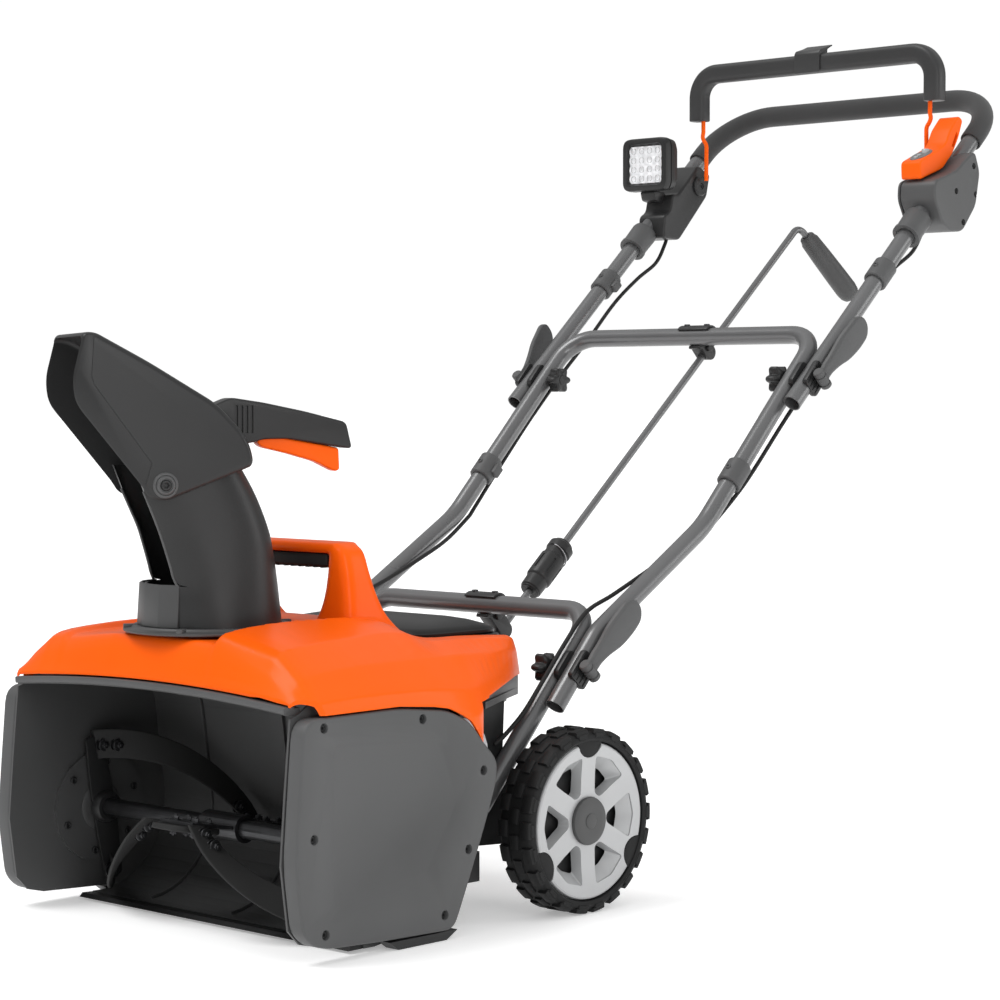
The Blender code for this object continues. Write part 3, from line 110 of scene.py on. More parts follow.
def make_world():
    """White behind the object for the camera; a studio's bright top and dark middle for light."""
    world = bpy.data.worlds.new("studio")
    world.use_nodes = True
    tree = world.node_tree
    backdrop = fill(tree.nodes["Background"], Color=(1.0, 1.0, 1.0, 1), Strength=1.02)
    glow = node(tree, "Background", Strength=0.92)
    heading = node(tree, "TexCoord")
    split = node(tree, "SeparateXYZ")
    level = node(tree, "MapRange", From_Min=-1.0, From_Max=1.0)
    shade = node(tree, "ValToRGB")
    while len(shade.color_ramp.elements) < len(GLOW):
        shade.color_ramp.elements.new(0.5)
    for stop, (where, value) in zip(shade.color_ramp.elements, GLOW):
        stop.position = where
        stop.color = (value, value, value, 1)
    tree.links.new(heading.outputs["Generated"], split.inputs["Vector"])
    tree.links.new(split.outputs["Z"], level.inputs["Value"])
    tree.links.new(level.outputs["Result"], shade.inputs["Fac"])
    tree.links.new(shade.outputs["Color"], glow.inputs["Color"])
    seen = node(tree, "LightPath")
    either = node(tree, "MixShader")
    tree.links.new(seen.outputs["Is Camera Ray"], either.inputs["Fac"])
    tree.links.new(glow.outputs["Background"], either.inputs[1])
    tree.links.new(backdrop.outputs["Background"], either.inputs[2])
    tree.links.new(either.outputs["Shader"], tree.nodes["World Output"].inputs["Surface"])
    bpy.context.scene.world = world


def aimed(direction):
    """A lamp's rotation that points it along a direction."""
    return Vector(direction).to_track_quat("-Z", "Y").to_euler()


def area_light(name, where, target, size, power):
    lamp = bpy.data.lights.new(name, "AREA")
    lamp.shape = "RECTANGLE"
    lamp.size, lamp.size_y = size
    lamp.energy = power
    item = bpy.data.objects.new(name, lamp)
    item.location = where
    item.rotation_euler = aimed(Vector(target) - Vector(where))
    bpy.context.scene.collection.objects.link(item)


def make_stage():
    make_camera()
    make_floor()
    make_world()
    sun = bpy.data.lights.new("key", "SUN")
    sun.energy = 1.55
    sun.angle = math.radians(30)
    key = bpy.data.objects.new("key", sun)
    key.rotation_euler = aimed((0.35, 0.55, -1.0))
    bpy.context.scene.collection.objects.link(key)
    area_light("side", (3.2, -1.6, 1.6), (0, 0, 0.4), (1.2, 1.8), 30)
    area_light("back", (3.0, 2.8, 1.5), (0, 0, 0.5), (1.4, 1.8), 24)
    bpy.context.scene.view_settings.view_transform = "Standard"


# ---------------------------------------------------------------- materials

def surface(name, colour, roughness, metallic=0.0, grain=900.0, bump=0.12, mottle=0.06,
            coat=0.0, patch=6.0, sheen=0.0, specular=0.5):
    """A Principled material with a fine moulded grain and a slow colour and gloss variation."""
    made = bpy.data.materials.new(name)
    made.use_nodes = True
    tree = made.node_tree
    shader = tree.nodes["Principled BSDF"]
    where = node(tree, "TexCoord")

    slow = node(tree, "TexNoise", Scale=patch, Detail=5.0)
    tree.links.new(where.outputs["Object"], slow.inputs["Vector"])
    ramp = node(tree, "ValToRGB")
    for stop, position, share in zip(ramp.color_ramp.elements, (0.35, 0.65),
                                     (1 - mottle, 1 + mottle)):
        stop.position = position
        stop.color = (*(min(c * share, 1.0) for c in colour), 1)
    tree.links.new(slow.outputs["Fac"], ramp.inputs["Fac"])
    tree.links.new(ramp.outputs["Color"], shader.inputs["Base Color"])

    gloss = node(tree, "MapRange", To_Min=max(roughness - 0.05, 0.02),
                 To_Max=min(roughness + 0.05, 1.0))
    tree.links.new(slow.outputs["Fac"], gloss.inputs["Value"])
    tree.links.new(gloss.outputs["Result"], shader.inputs["Roughness"])

    if bump > 0:
        fine = node(tree, "TexNoise", Scale=grain, Detail=2.0)
        tree.links.new(where.outputs["Object"], fine.inputs["Vector"])
        lift = node(tree, "Bump", Strength=bump, Distance=0.0004)
        tree.links.new(fine.outputs["Fac"], lift.inputs["Height"])
        tree.links.new(lift.outputs["Normal"], shader.inputs["Normal"])
    fill(shader, Metallic=metallic, Specular_IOR_Level=specular, Coat_Weight=coat,
         Coat_Roughness=0.08, Sheen_Weight=sheen)
    return made


M = {}


def make_materials():
    M["orange"] = surface("orange_gloss", (0.92, 0.112, 0.003), 0.3, bump=0.03, grain=300,
                          mottle=0.02, coat=0.03, specular=0.1)
    M["orange_matt"] = surface("orange_satin", (0.91, 0.112, 0.003), 0.4, bump=0.06,
                               mottle=0.03, specular=0.12)
    M["grey"] = surface("grey_moulding", (0.076, 0.077, 0.078), 0.48, bump=0.2, grain=1100,
                        specular=0.35)
    M["chute"] = surface("dark_grey_moulding", (0.023, 0.0232, 0.0235), 0.36, bump=0.12,
                         grain=1100, specular=0.28)
    M["grey_light"] = surface("grey_flange", (0.15, 0.152, 0.154), 0.4, bump=0.15, grain=1100)
    M["black"] = surface("black_moulding", (0.016, 0.0163, 0.0167), 0.4, bump=0.15, grain=900,
                         specular=0.35)
    M["housing"] = surface("housing_moulding", (0.062, 0.0625, 0.063), 0.42, bump=0.12,
                           grain=700, specular=0.4)
    M["paint"] = surface("grey_powder_coat", (0.12, 0.121, 0.123), 0.28, 0.35, grain=1500,
                         bump=0.03, mottle=0.05, specular=0.7)
    M["rubber"] = surface("black_rubber", (0.014, 0.014, 0.014), 0.68, bump=0.25, grain=700,
                          specular=0.3)
    M["tyre"] = surface("tyre_rubber", (0.006, 0.0062, 0.0064), 0.62, bump=0.35, grain=600,
                        mottle=0.15, specular=0.3)
    M["lid"] = surface("lid_gloss", (0.012, 0.0122, 0.0125), 0.34, bump=0.04, grain=300,
                       specular=0.18)
    M["hub"] = surface("dark_grey_cap", (0.052, 0.0525, 0.053), 0.48, bump=0.2, grain=900)
    M["foam"] = surface("grip_foam", (0.043, 0.0433, 0.0437), 0.8, bump=0.5, grain=1400,
                        sheen=0.15, specular=0.25)
    M["silver"] = surface("silver_rim", (0.42, 0.425, 0.43), 0.36, 0.2, bump=0.06)
    M["steel"] = surface("zinc_steel", (0.33, 0.33, 0.34), 0.34, 1.0, grain=500, bump=0.12,
                         mottle=0.12, patch=30)
    M["dark_steel"] = surface("dark_steel", (0.062, 0.063, 0.066), 0.36, 0.85, grain=500,
                              bump=0.14, mottle=0.15, patch=30)
    M["grey_bar"] = surface("bail_moulding", (0.034, 0.0343, 0.0347), 0.42, bump=0.14,
                            grain=1100, specular=0.3)
    M["cast"] = surface("cast_aluminium", (0.45, 0.45, 0.46), 0.5, 1.0, grain=300, bump=0.3)
    M["lens"] = surface("lamp_lens", (0.8, 0.81, 0.83), 0.15, bump=0.6, grain=220, mottle=0.15,
                        patch=120, coat=0.5)


SLOTS = {"orange_plastic": "orange", "grey_plastic": "grey", "black_plastic": "black",
         "dark_paint": "paint", "rubber": "rubber", "tyre_rubber": "tyre", "foam": "foam",
         "silver_paint": "silver", "steel": "steel", "aluminium": "cast",
         "clear_plastic": "lens"}
LOOKS = {"auger_housing": "housing", "throat_plate": "housing", "bail": "chute",
         "battery_lid": "black", "crank_grip": "rubber",
         "auger_shaft": "dark_steel", "auger_center_plate": "dark_steel"}


def dress_nodes():
    """Give every carried-over node its procedural material."""
    for entry in frame["record"]["subparts"]:
        item = NODES[entry["node"]]
        item.data.materials.clear()
        look = LOOKS.get(entry["node"], SLOTS[entry["material_slot"]])
        item.data.materials.append(M[look])
        item.data.set_sharp_from_angle(angle=math.radians(35))


# ---------------------------------------------------------------- mesh tools

def link(name, mesh, mat):
    made = bpy.data.objects.new(name, mesh)
    bpy.context.scene.collection.objects.link(made)
    mesh.materials.clear()
    mesh.materials.append(M[mat])
    return made


def solid(name, verts, faces, mat, sharp=40):
    mesh = bpy.data.meshes.new(name)
    mesh.from_pydata([tuple(v) for v in verts], [], faces)
    work = bmesh.new()
    work.from_mesh(mesh)
    bmesh.ops.recalc_face_normals(work, faces=work.faces)
    work.to_mesh(mesh)
    work.free()
    made = link(name, mesh, mat)
    smooth(made, sharp)
    return made


def smooth(item, sharp=40):
    item.data.shade_smooth()
    item.data.set_sharp_from_angle(angle=math.radians(sharp))


def skin(rings, closed=False):
    """Vertices and faces through rings of equal length, capped unless closed."""
    count = len(rings[0])
    verts = [p for ring in rings for p in ring]
    faces = []
    for i in range(len(rings) if closed else len(rings) - 1):
        a, b = i * count, ((i + 1) % len(rings)) * count
        for j in range(count):
            k = (j + 1) % count
            faces.append((a + j, a + k, b + k, b + j))
    if not closed:
        last = (len(rings) - 1) * count
        faces.append(tuple(range(count)))
        faces.append(tuple(range(last, last + count)))
    return verts, faces


def apply(item):
    """Bake an object's modifiers into its mesh."""
    bpy.context.view_layer.update()
    ready = item.evaluated_get(bpy.context.evaluated_depsgraph_get())
    mesh = bpy.data.meshes.new_from_object(ready)
    item.modifiers.clear()
    old = item.data
    item.data = mesh
    bpy.data.meshes.remove(old)
    return item


def modify(item, kind, **settings):
    step = item.modifiers.new(kind, kind)
    for key, value in settings.items():
        setattr(step, key, value)
    return apply(item)


def bevel(item, width, segments=3, angle=30):
    modify(item, "BEVEL", width=width, segments=segments, limit_method="ANGLE",
           angle_limit=math.radians(angle), harden_normals=False)
    smooth(item, 40)
    return item


def boolean(target, tool, operation):
    modify(target, "BOOLEAN", operation=operation, solver="EXACT", object=tool)
    bpy.data.objects.remove(tool, do_unlink=True)
    return target


def cut(target, *tools):
    for tool in tools:
        boolean(target, tool, "DIFFERENCE")
    return target


def join(target, *tools):
    for tool in tools:
        boolean(target, tool, "UNION")
    return target


def prism(name, outline, low, high, axis="X", mat="black"):
    """An outline of points pushed along an axis; y in the outline is from the front edge."""
    spot = {"X": lambda t, a, b: at(t, a, b), "Y": lambda t, a, b: at(a, t, b),
            "Z": lambda t, a, b: at(a, b, t)}[axis]
    rings = [[spot(t, a, b) for a, b in outline] for t in sorted((low, high))]
    return solid(name, *skin(rings), mat)


def rect(x0, z0, x1, z1):
    return [(x0, z0), (x1, z0), (x1, z1), (x0, z1)]


def box(name, low, high, mat="black", edge=0.0, segments=3):
    made = prism(name, rect(low[1], low[2], high[1], high[2]), low[0], high[0], "X", mat)
    return bevel(made, edge, segments) if edge else made


def basis(axis):
    """A rotation whose local X lies along the axis."""
    axis = Vector(axis).normalized()
    up = Vector((0, 0, 1)) if abs(axis.z) < 0.95 else Vector((0, 1, 0))
    side = up.cross(axis).normalized()
    return Matrix((axis, side, axis.cross(side))).transposed().to_4x4()


def lathe(name, profile, centre, axis, mat, steps=48, closed=True, sharp=40):
    """A piece turned about an axis from (along, radius) points."""
    turn = Matrix.Translation(centre) @ basis(axis)

    def spot(along, radius, i):
        angle = math.tau * i / steps
        return turn @ Vector((along, radius * math.cos(angle), radius * math.sin(angle)))

    if closed:
        rings = [[spot(x, r, i) for x, r in profile] for i in range(steps)]
    else:
        rings = [[spot(x, r, i) for i in range(steps)] for x, r in profile]
    return solid(name, *skin(rings, closed), mat, sharp)


def disc(name, centre, axis, radius, length, mat, steps=24, edge=0.0):
    """A short cylinder standing on a centre, with a rounded outer rim."""
    edge = min(edge, radius * 0.6, length * 0.8)
    profile = [(0.0, radius)]
    if edge:
        profile += [(length - edge + edge * math.sin(t), radius - edge + edge * math.cos(t))
                    for t in (0.0, 0.5, 1.0, math.pi / 2)]
    else:
        profile.append((length, radius))
    return lathe(name, profile, centre, axis, mat, steps, closed=False)


def rounded(points, radii, steps=6):
    """A polyline with its inner corners turned into arcs."""
    points = [Vector(p) for p in points]
    path = [points[0]]
    for before, corner, after, radius in zip(points, points[1:], points[2:], radii):
        one = (before - corner).normalized()
        two = (after - corner).normalized()
        half = one.angle(two) / 2
        middle = corner + (one + two).normalized() * (radius / math.sin(half))
        first = (corner + one * radius / math.tan(half) - middle).normalized()
        last = (corner + two * radius / math.tan(half) - middle).normalized()
        path += [middle + radius * first.slerp(last, i / steps) for i in range(steps + 1)]
    path.append(points[-1])
    return path


def spline(points, steps=6):
    """A Catmull-Rom curve through points."""
    points = [Vector(p) for p in points]
    line = []
    for i in range(len(points) - 1):
        p0, p1 = points[max(i - 1, 0)], points[i]
        p2, p3 = points[i + 1], points[min(i + 2, len(points) - 1)]
        for step in range(steps):
            t = step / steps
            line.append(0.5 * (2 * p1 + (p2 - p0) * t + (2 * p0 - 5 * p1 + 4 * p2 - p3) * t * t
                               + (3 * p1 - p0 - 3 * p2 + p3) * t ** 3))
    line.append(points[-1])
    return line


def sweep(name, path, section, mat, sharp=40, up=None):
    """A closed section of (a, b) points carried along a path."""
    across = None
    rings = []
    for i, point in enumerate(path):
        along = (path[min(i + 1, len(path) - 1)] - path[max(i - 1, 0)]).normalized()
        if across is None:
            across = Vector(up).cross(along).normalized() if up else along.orthogonal()
        across = (across - along * across.dot(along)).normalized()
        other = along.cross(across)
        rings.append([point + across * a + other * b for a, b in section])
    return solid(name, *skin(rings), mat, sharp)


def circle(radius, sides=20):
    return [(radius * math.cos(math.tau * i / sides), radius * math.sin(math.tau * i / sides))
            for i in range(sides)]


def pipe(name, path, radius, mat, sides=20):
    return sweep(name, path, circle(radius, sides), mat, 50)


def mirrored(name, source):
    mesh = source.data.copy()
    mesh.transform(Matrix.Scale(-1, 4, (1, 0, 0)))
    mesh.flip_normals()
    made = bpy.data.objects.new(name, mesh)
    bpy.context.scene.collection.objects.link(made)
    return made


def arc(centre, radius, first, last, steps):
    turns = [math.radians(first + (last - first) * i / steps) for i in range(steps + 1)]
    return [(centre[0] + radius * math.cos(t), centre[1] + radius * math.sin(t)) for t in turns]


def corners(outline, radius, steps=4):
    """A closed 2-D outline with rounded corners."""
    made = []
    count = len(outline)
    for i in range(count):
        before, here, after = (Vector(outline[(i + k) % count]) for k in (-1, 0, 1))
        one, two = (before - here), (after - here)
        reach = min(radius, one.length * 0.45, two.length * 0.45)
        one, two = here + one.normalized() * reach, here + two.normalized() * reach
        for step in range(steps + 1):
            t = step / steps
            made.append(tuple((1 - t) ** 2 * one + 2 * t * (1 - t) * here + t * t * two))
    return made


def inset(outline, distance):
    """A closed counter-clockwise outline moved inwards."""
    moved = []
    count = len(outline)
    for i in range(count):
        before, here, after = (Vector(outline[(i + k) % count]) for k in (-1, 0, 1))
        one, two = (here - before).normalized(), (after - here).normalized()
        normal = Vector((-one.y - two.y, one.x + two.x)).normalized()
        lean = max(normal.dot(Vector((-one.y, one.x))), 0.5)
        moved.append(tuple(here + normal * (distance / lean)))
    return moved


def place(item, body, *nodes):
    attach(item, body)
    if nodes:
        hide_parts(*nodes)
    return item


def merge(first, second):
    """Put a second piece's mesh into the first object's mesh."""
    work = bmesh.new()
    work.from_mesh(first.data)
    work.from_mesh(second.data)
    work.to_mesh(first.data)
    work.free()
    bpy.data.objects.remove(second, do_unlink=True)
    return first


def gather(name, pieces):
    """One named object with every piece's mesh, in the first one's look."""
    whole = pieces[0]
    for piece in pieces[1:]:
        merge(whole, piece)
    whole.name = name
    return whole


def screw_head(name, centre, axis, radius, height):
    """A pan head with a six-lobed socket in it."""
    head = disc(name, centre, axis, radius, height, "black", 20, radius * 0.25)
    turn = Matrix.Translation(centre) @ basis(axis)
    rings = []
    for depth in (height * 0.35, height * 1.5):
        ring = []
        for i in range(24):
            angle = math.tau * i / 24
            reach = radius * (0.46 + 0.1 * math.cos(6 * angle))
            ring.append(turn @ Vector((depth, reach * math.cos(angle),
                                       reach * math.sin(angle))))
        rings.append(ring)
    return cut(head, solid("socket", *skin(rings), "black"))


# ---------------------------------------------------------------- hood

def lip_z(x):
    """Height of the arched upper edge of the auger opening."""
    return 0.3005 - 0.0115 * (x / 0.25) ** 2


def both_sides(half):
    """A row of section points from the right-hand side to the middle, and back out."""
    return half + [(-x, z) for x, z in half[-2::-1]]


# Hood sections from front to back: y, then (x, z) points from right to left. The middle sinks
# into a shallow recess round the chute ring, nearer the right-hand side at the front.
HOOD = [
    (-0.034, [(0.2725, 0.245), (0.268, 0.256), (0.236, 0.258), (0.2, 0.262), (0.108, 0.264),
              (0.1, 0.264), (0.05, 0.265), (0.0, 0.266), (-0.08, 0.265), (-0.168, 0.264),
              (-0.177, 0.264), (-0.206, 0.262), (-0.236, 0.258), (-0.268, 0.256), (-0.2725, 0.245)]),
    (-0.011, [(0.2725, 0.2775), (0.267, 0.2855), (0.24, 0.2925), (0.2, 0.2975), (0.108, 0.3),
              (0.1, 0.299), (0.05, 0.3005), (0.0, 0.301), (-0.08, 0.3), (-0.168, 0.297),
              (-0.177, 0.2975), (-0.206, 0.296), (-0.24, 0.2925), (-0.267, 0.2855),
              (-0.2725, 0.2775)]),
    (0.003, [(0.2725, 0.278), (0.268, 0.2895), (0.24, 0.307), (0.2, 0.324), (0.108, 0.348),
             (0.1, 0.343), (0.05, 0.345), (0.0, 0.345), (-0.08, 0.344), (-0.168, 0.33),
             (-0.177, 0.332), (-0.206, 0.326), (-0.24, 0.307), (-0.268, 0.2895), (-0.2725, 0.278)]),
    (0.022, [(0.2725, 0.278), (0.2688, 0.2915), (0.24, 0.318), (0.2, 0.343), (0.111, 0.362),
             (0.103, 0.349), (0.05, 0.35), (0.0, 0.35), (-0.08, 0.3495), (-0.17, 0.342),
             (-0.18, 0.346), (-0.204, 0.343), (-0.24, 0.319), (-0.2688, 0.2915), (-0.2725, 0.278)]),
    (0.09, [(0.2725, 0.279), (0.269, 0.2935), (0.237, 0.324), (0.195, 0.35), (0.119, 0.369),
            (0.11, 0.3495), (0.06, 0.35), (0.0, 0.35), (-0.08, 0.35), (-0.172, 0.344), (-0.183, 0.352),
            (-0.2, 0.35), (-0.237, 0.324), (-0.269, 0.2935), (-0.2725, 0.279)]),
    (0.15, [(0.2725, 0.277), (0.269, 0.2935), (0.234, 0.325), (0.189, 0.352), (0.128, 0.37),
            (0.119, 0.35), (0.06, 0.35), (0.0, 0.35), (-0.08, 0.35), (-0.166, 0.348), (-0.178, 0.355),
            (-0.194, 0.352), (-0.234, 0.325), (-0.269, 0.2935), (-0.2725, 0.277)]),
    (0.182, [(0.2725, 0.275), (0.2688, 0.2925), (0.232, 0.325), (0.185, 0.353), (0.138, 0.37),
             (0.122, 0.3505), (0.06, 0.3505), (0.0, 0.3505), (-0.06, 0.3505), (-0.13, 0.3505),
             (-0.15, 0.365), (-0.185, 0.353), (-0.232, 0.325), (-0.2688, 0.2925), (-0.2725, 0.275)]),
    (0.206, both_sides([(0.2725, 0.272), (0.268, 0.2915), (0.23, 0.325), (0.182, 0.353),
                        (0.142, 0.366), (0.11, 0.361), (0.055, 0.36), (0.0, 0.36)])),
    (0.235, both_sides([(0.2725, 0.264), (0.266, 0.289), (0.226, 0.324), (0.18, 0.35), (0.142, 0.361),
                        (0.11, 0.362), (0.055, 0.362), (0.0, 0.362)])),
    (0.268, both_sides([(0.2695, 0.256), (0.26, 0.287), (0.221, 0.3235), (0.178, 0.3395),
                        (0.148, 0.3455), (0.11, 0.356), (0.055, 0.357), (0.0, 0.357)])),
    (0.3, both_sides([(0.2515, 0.272), (0.245, 0.29), (0.216, 0.323), (0.178, 0.337), (0.15, 0.339),
                      (0.138, 0.334), (0.055, 0.334), (0.0, 0.334)])),
    (0.36, both_sides([(0.217, 0.2785), (0.213, 0.293), (0.2, 0.32), (0.172, 0.3355), (0.15, 0.3375),
                       (0.138, 0.3336), (0.055, 0.3335), (0.0, 0.3335)])),
    (0.43, both_sides([(0.1765, 0.283), (0.1755, 0.295), (0.172, 0.318), (0.162, 0.331),
                       (0.148, 0.3335), (0.138, 0.3325), (0.055, 0.3335), (0.0, 0.3335)])),
    (0.456, both_sides([(0.16, 0.283), (0.1585, 0.292), (0.155, 0.308), (0.148, 0.325),
                        (0.138, 0.3285), (0.12, 0.327), (0.05, 0.326), (0.0, 0.326)])),
    (0.4738, both_sides([(0.14, 0.284), (0.137, 0.288), (0.13, 0.296), (0.118, 0.301), (0.098, 0.302),
                         (0.07, 0.302), (0.04, 0.302), (0.0, 0.302)])),
]
RECESS_RIDGES = (5, 11)     # points of a closed section on the ridges beside the recess
HOOD_WALL, RIDGE_WALL = 0.0036, 3.2     # wall thickness, and how much thicker the ridges are
CHUTE_Y = 0.09
INNER_X = 0.2445            # inner face of the side covers
LEG = [     # height, inner and outer x, front and rear y
    (0.325, 0.04, 0.168, 0.176, 0.312), (0.342, 0.052, 0.138, 0.186, 0.286),
    (0.358, 0.06, 0.128, 0.193, 0.2715), (0.37, 0.066, 0.1235, 0.196, 0.2635),
    (0.385, 0.071, 0.1205, 0.198, 0.2565), (0.4, 0.0745, 0.118, 0.199, 0.251),
    (0.42, 0.0775, 0.115, 0.1995, 0.2455), (0.44, 0.079, 0.1095, 0.2, 0.243),
    (0.448, 0.0795, 0.104, 0.202, 0.24), (0.4545, 0.08, 0.093, 0.206, 0.235),
]


def hood_solid(name, shrink, low):
    """The hood's outline closed down to a level below it, each side moved in by shrink."""
    across = []
    for y, points in HOOD:
        row = [(points[0][0], low)] + points + [(points[-1][0], low)]
        moved = []
        for i, (x, z) in enumerate(row):
            inward = -math.copysign(min(shrink, abs(x)), x) if x else 0.0
            lower = 0.0 if i in (0, len(row) - 1) else shrink
            if i in RECESS_RIDGES:
                lower = shrink * RIDGE_WALL
            moved.append(at(x + inward, y, z - lower))
        across.append(moved)
    columns = [spline(column, 4) for column in zip(*across)]
    rings = [list(ring) for ring in zip(*columns)]
    return solid(name, *skin(rings), "orange")


def hoop_leg(side):
    """One flared leg of the carry hoop, as rounded rectangles from its foot up."""
    rings = []
    for z, x0, x1, y0, y1 in LEG:
        outline = corners(rect(x0, y0, x1, y1), 0.014, 4)
        rings.append([at(side * x, y, z) for x, y in outline])
    smoother = [list(ring) for ring in zip(*[spline(column, 3) for column in zip(*rings)])]
    return solid("leg", *skin(smoother), "orange")


def hood_cutters():
    """What trims the hood's lower edges: its front, both sides, the arch, the rear and tail."""
    edge = [(-0.05, 0.2772), (0.0, 0.2776), (0.135, 0.2784), (0.19, 0.2735), (0.2165, 0.2692),
            (0.24, 0.259), (0.253, 0.2515), (0.265, 0.2388), (0.275, 0.2275),
            (0.2835, 0.2195), (0.4, 0.2195), (0.4, 0.1), (-0.05, 0.1)]
    half = 0.2446
    arch = [(-half + half * i / 16, lip_z(-half + half * i / 16)) for i in range(33)]
    arch += [(half, 0.1), (-half, 0.1)]
    rear = [(0.272, 0.05), (0.272, 0.27), (0.298, 0.273), (0.43, 0.284),
            (0.6, 0.286), (0.6, 0.05)]
    tail = [(0.2835, 0.05), (0.2835, 0.2705), (0.6, 0.29), (0.6, 0.05)]
    return [box("front", (-0.4, -0.2, 0.1), (0.4, -0.0105, 0.6)),
            prism("edge", edge, -INNER_X, -0.4), prism("edge", edge, INNER_X, 0.4),
            prism("arch", arch, -0.1, 0.3, "Y"), prism("rear", rear, -INNER_X, INNER_X),
            prism("tail", tail, -0.3, 0.3)]


def make_hood():
    shell = hood_solid("hood_shell", 0.0, 0.2)
    bar = box("bar", (-0.096, 0.2, 0.4415), (0.096, 0.241, 0.455), "orange", 0.0055, 4)
    join(shell, hoop_leg(1), hoop_leg(-1), bar)
    modify(shell, "REMESH", mode="VOXEL", voxel_size=0.0024)
    modify(shell, "SMOOTH", factor=0.5, iterations=6)
    cut(shell, *hood_cutters())
    hollow = hood_solid("hollow", HOOD_WALL, 0.1)
    modify(hollow, "REMESH", mode="VOXEL", voxel_size=0.003)
    cut(shell, hollow)
    cut(shell, lathe("hole", [(0, 0.0745), (0.15, 0.0745)], at(0, CHUTE_Y, 0.25), (0, 0, 1),
                     "orange", 64, closed=False))
    well = corners(rect(-0.142, 0.298, 0.002, 0.388), 0.01)
    cut(shell, prism("well", well, 0.31, 0.36, "Z"))
    for side, _ in SIDES:
        corner = [(side * 0.248, -0.1), (side * 0.248, -0.01), (side * 0.274, 0.023),
                  (side * 0.4, 0.023), (side * 0.4, -0.1)]
        cut(shell, prism("corner", corner, 0.1, 0.6, "Z"))
    smooth(shell, 38)
    shell.data.materials.clear()
    shell.data.materials.append(M["orange"])
    place(shell, "chassis", "hood")


def make_grip():
    """Rubber grip under the carry hoop's bar, with ribs for the fingers."""
    grip = box("hoop_grip", (-0.0772, 0.2045, 0.4252), (0.0772, 0.2365, 0.4414), "rubber",
               0.0035, 4)
    place(grip, "chassis", "carry_grip")
    ribs = [box("rib", (-0.0688 + 0.0132 * i, 0.206, 0.4235),
                (-0.0632 + 0.0132 * i, 0.235, 0.4262), "rubber", 0.001, 2)
            for i in range(11)]
    place(gather("hoop_grip_ribs", ribs), "chassis")


# ---------------------------------------------------------------- covers and trim

COVER = [
    (0.0016, 0.0229), (0.0257, 0.017), (0.1028, 0.0134), (0.224, 0.0106), (0.2374, 0.038),
    (0.2745, 0.1214), (0.295, 0.1723), (0.2985, 0.2015), (0.2746, 0.2251), (0.2526, 0.2505),
    (0.216, 0.2677), (0.135, 0.2768), (-0.011, 0.2755), (-0.0186, 0.1889),
    (-0.0248, 0.1127), (-0.0147, 0.0397),
]
COVER_SCREWS = [(0.018, 0.264), (0.172, 0.261), (0.273, 0.192), (0.003, 0.142),
                (0.2475, 0.102), (0.208, 0.03), (0.02, 0.034)]


def make_covers():
    outline = corners(inset(COVER, 0.0004), 0.022, 5)
    body = prism("cover_right", outline, 0.249, 0.2723, "X", "grey")
    bevel(body, 0.0032, 4, 50)
    panel = corners([(0.034, 0.063), (0.135, 0.075), (0.186, 0.086), (0.2325, 0.161),
                     (0.208, 0.231), (0.034, 0.244)], 0.012, 5)
    rings = [[at(0.2694, y, z) for y, z in panel],
             [at(0.2735, y, z) for y, z in inset(panel, -0.006)]]
    cut(body, solid("panel", *skin(rings), "grey"))
    for y, z in COVER_SCREWS:
        cut(body, lathe("hole", [(0.0, 0.005), (0.0035, 0.005), (0.006, 0.0062)],
                        at(0.2668, y, z), (1, 0, 0), "grey", 20, closed=False))
    smooth(body, 35)
    screws = gather("cover_screws_right",
                    [screw_head("screw", at(0.2662, y, z), (1, 0, 0), 0.0042, 0.003)
                     for y, z in COVER_SCREWS])
    left = mirrored("cover_left", body), mirrored("cover_screws_left", screws)
    for word, (cover, heads) in (("right", (body, screws)), ("left", left)):
        place(cover, "chassis", "side_cover_" + word)
        place(heads, "chassis")


def make_lip():
    """Rounded grey strip along the arched edge above the auger."""
    steps, half = 40, 0.244
    path = [at(-half + 2 * half * i / steps, -0.0118,
               lip_z(-half + 2 * half * i / steps) - 0.0062) for i in range(steps + 1)]
    section = corners(rect(-0.004, -0.0045, 0.004, 0.011), 0.0022, 3)
    strip = sweep("lip_strip", path, section, "grey", up=(0, 1, 0))
    place(strip, "chassis")


def make_band():
    """Grey belt under the hood's tail."""
    outer = [(0.253, 0.2835), (0.1642, 0.448), (0.133, 0.4735), (-0.133, 0.4735),
             (-0.1642, 0.448), (-0.253, 0.2835)]
    inner = [(-0.245, 0.28), (-0.16, 0.443), (-0.131, 0.469), (0.131, 0.469),
             (0.16, 0.443), (0.245, 0.28)]
    band = prism("tail_band", outer + inner, 0.259, 0.2836, "Z", "grey")
    bevel(band, 0.0012, 2, 50)
    place(band, "chassis")


# ---------------------------------------------------------------- chute and deflector

CHUTE_YAW = -26.0
AHEAD = Matrix(((0, 1, 0, 0), (-1, 0, 0, 0), (0, 0, 1, 0), (0, 0, 0, 1)))
# From chute coordinates (u ahead, s to the left, z up) to the model.
CHUTE_FRAME = (Matrix.Translation(at(0, CHUTE_Y, 0))
               @ Matrix.Rotation(math.radians(CHUTE_YAW), 4, "Z") @ AHEAD)


def chute_prism(name, outline, low, high, mat):
    rings = [[CHUTE_FRAME @ Vector((u, s, z)) for u, z in outline]
             for s in sorted((low, high))]
    return solid(name, *skin(rings), mat)


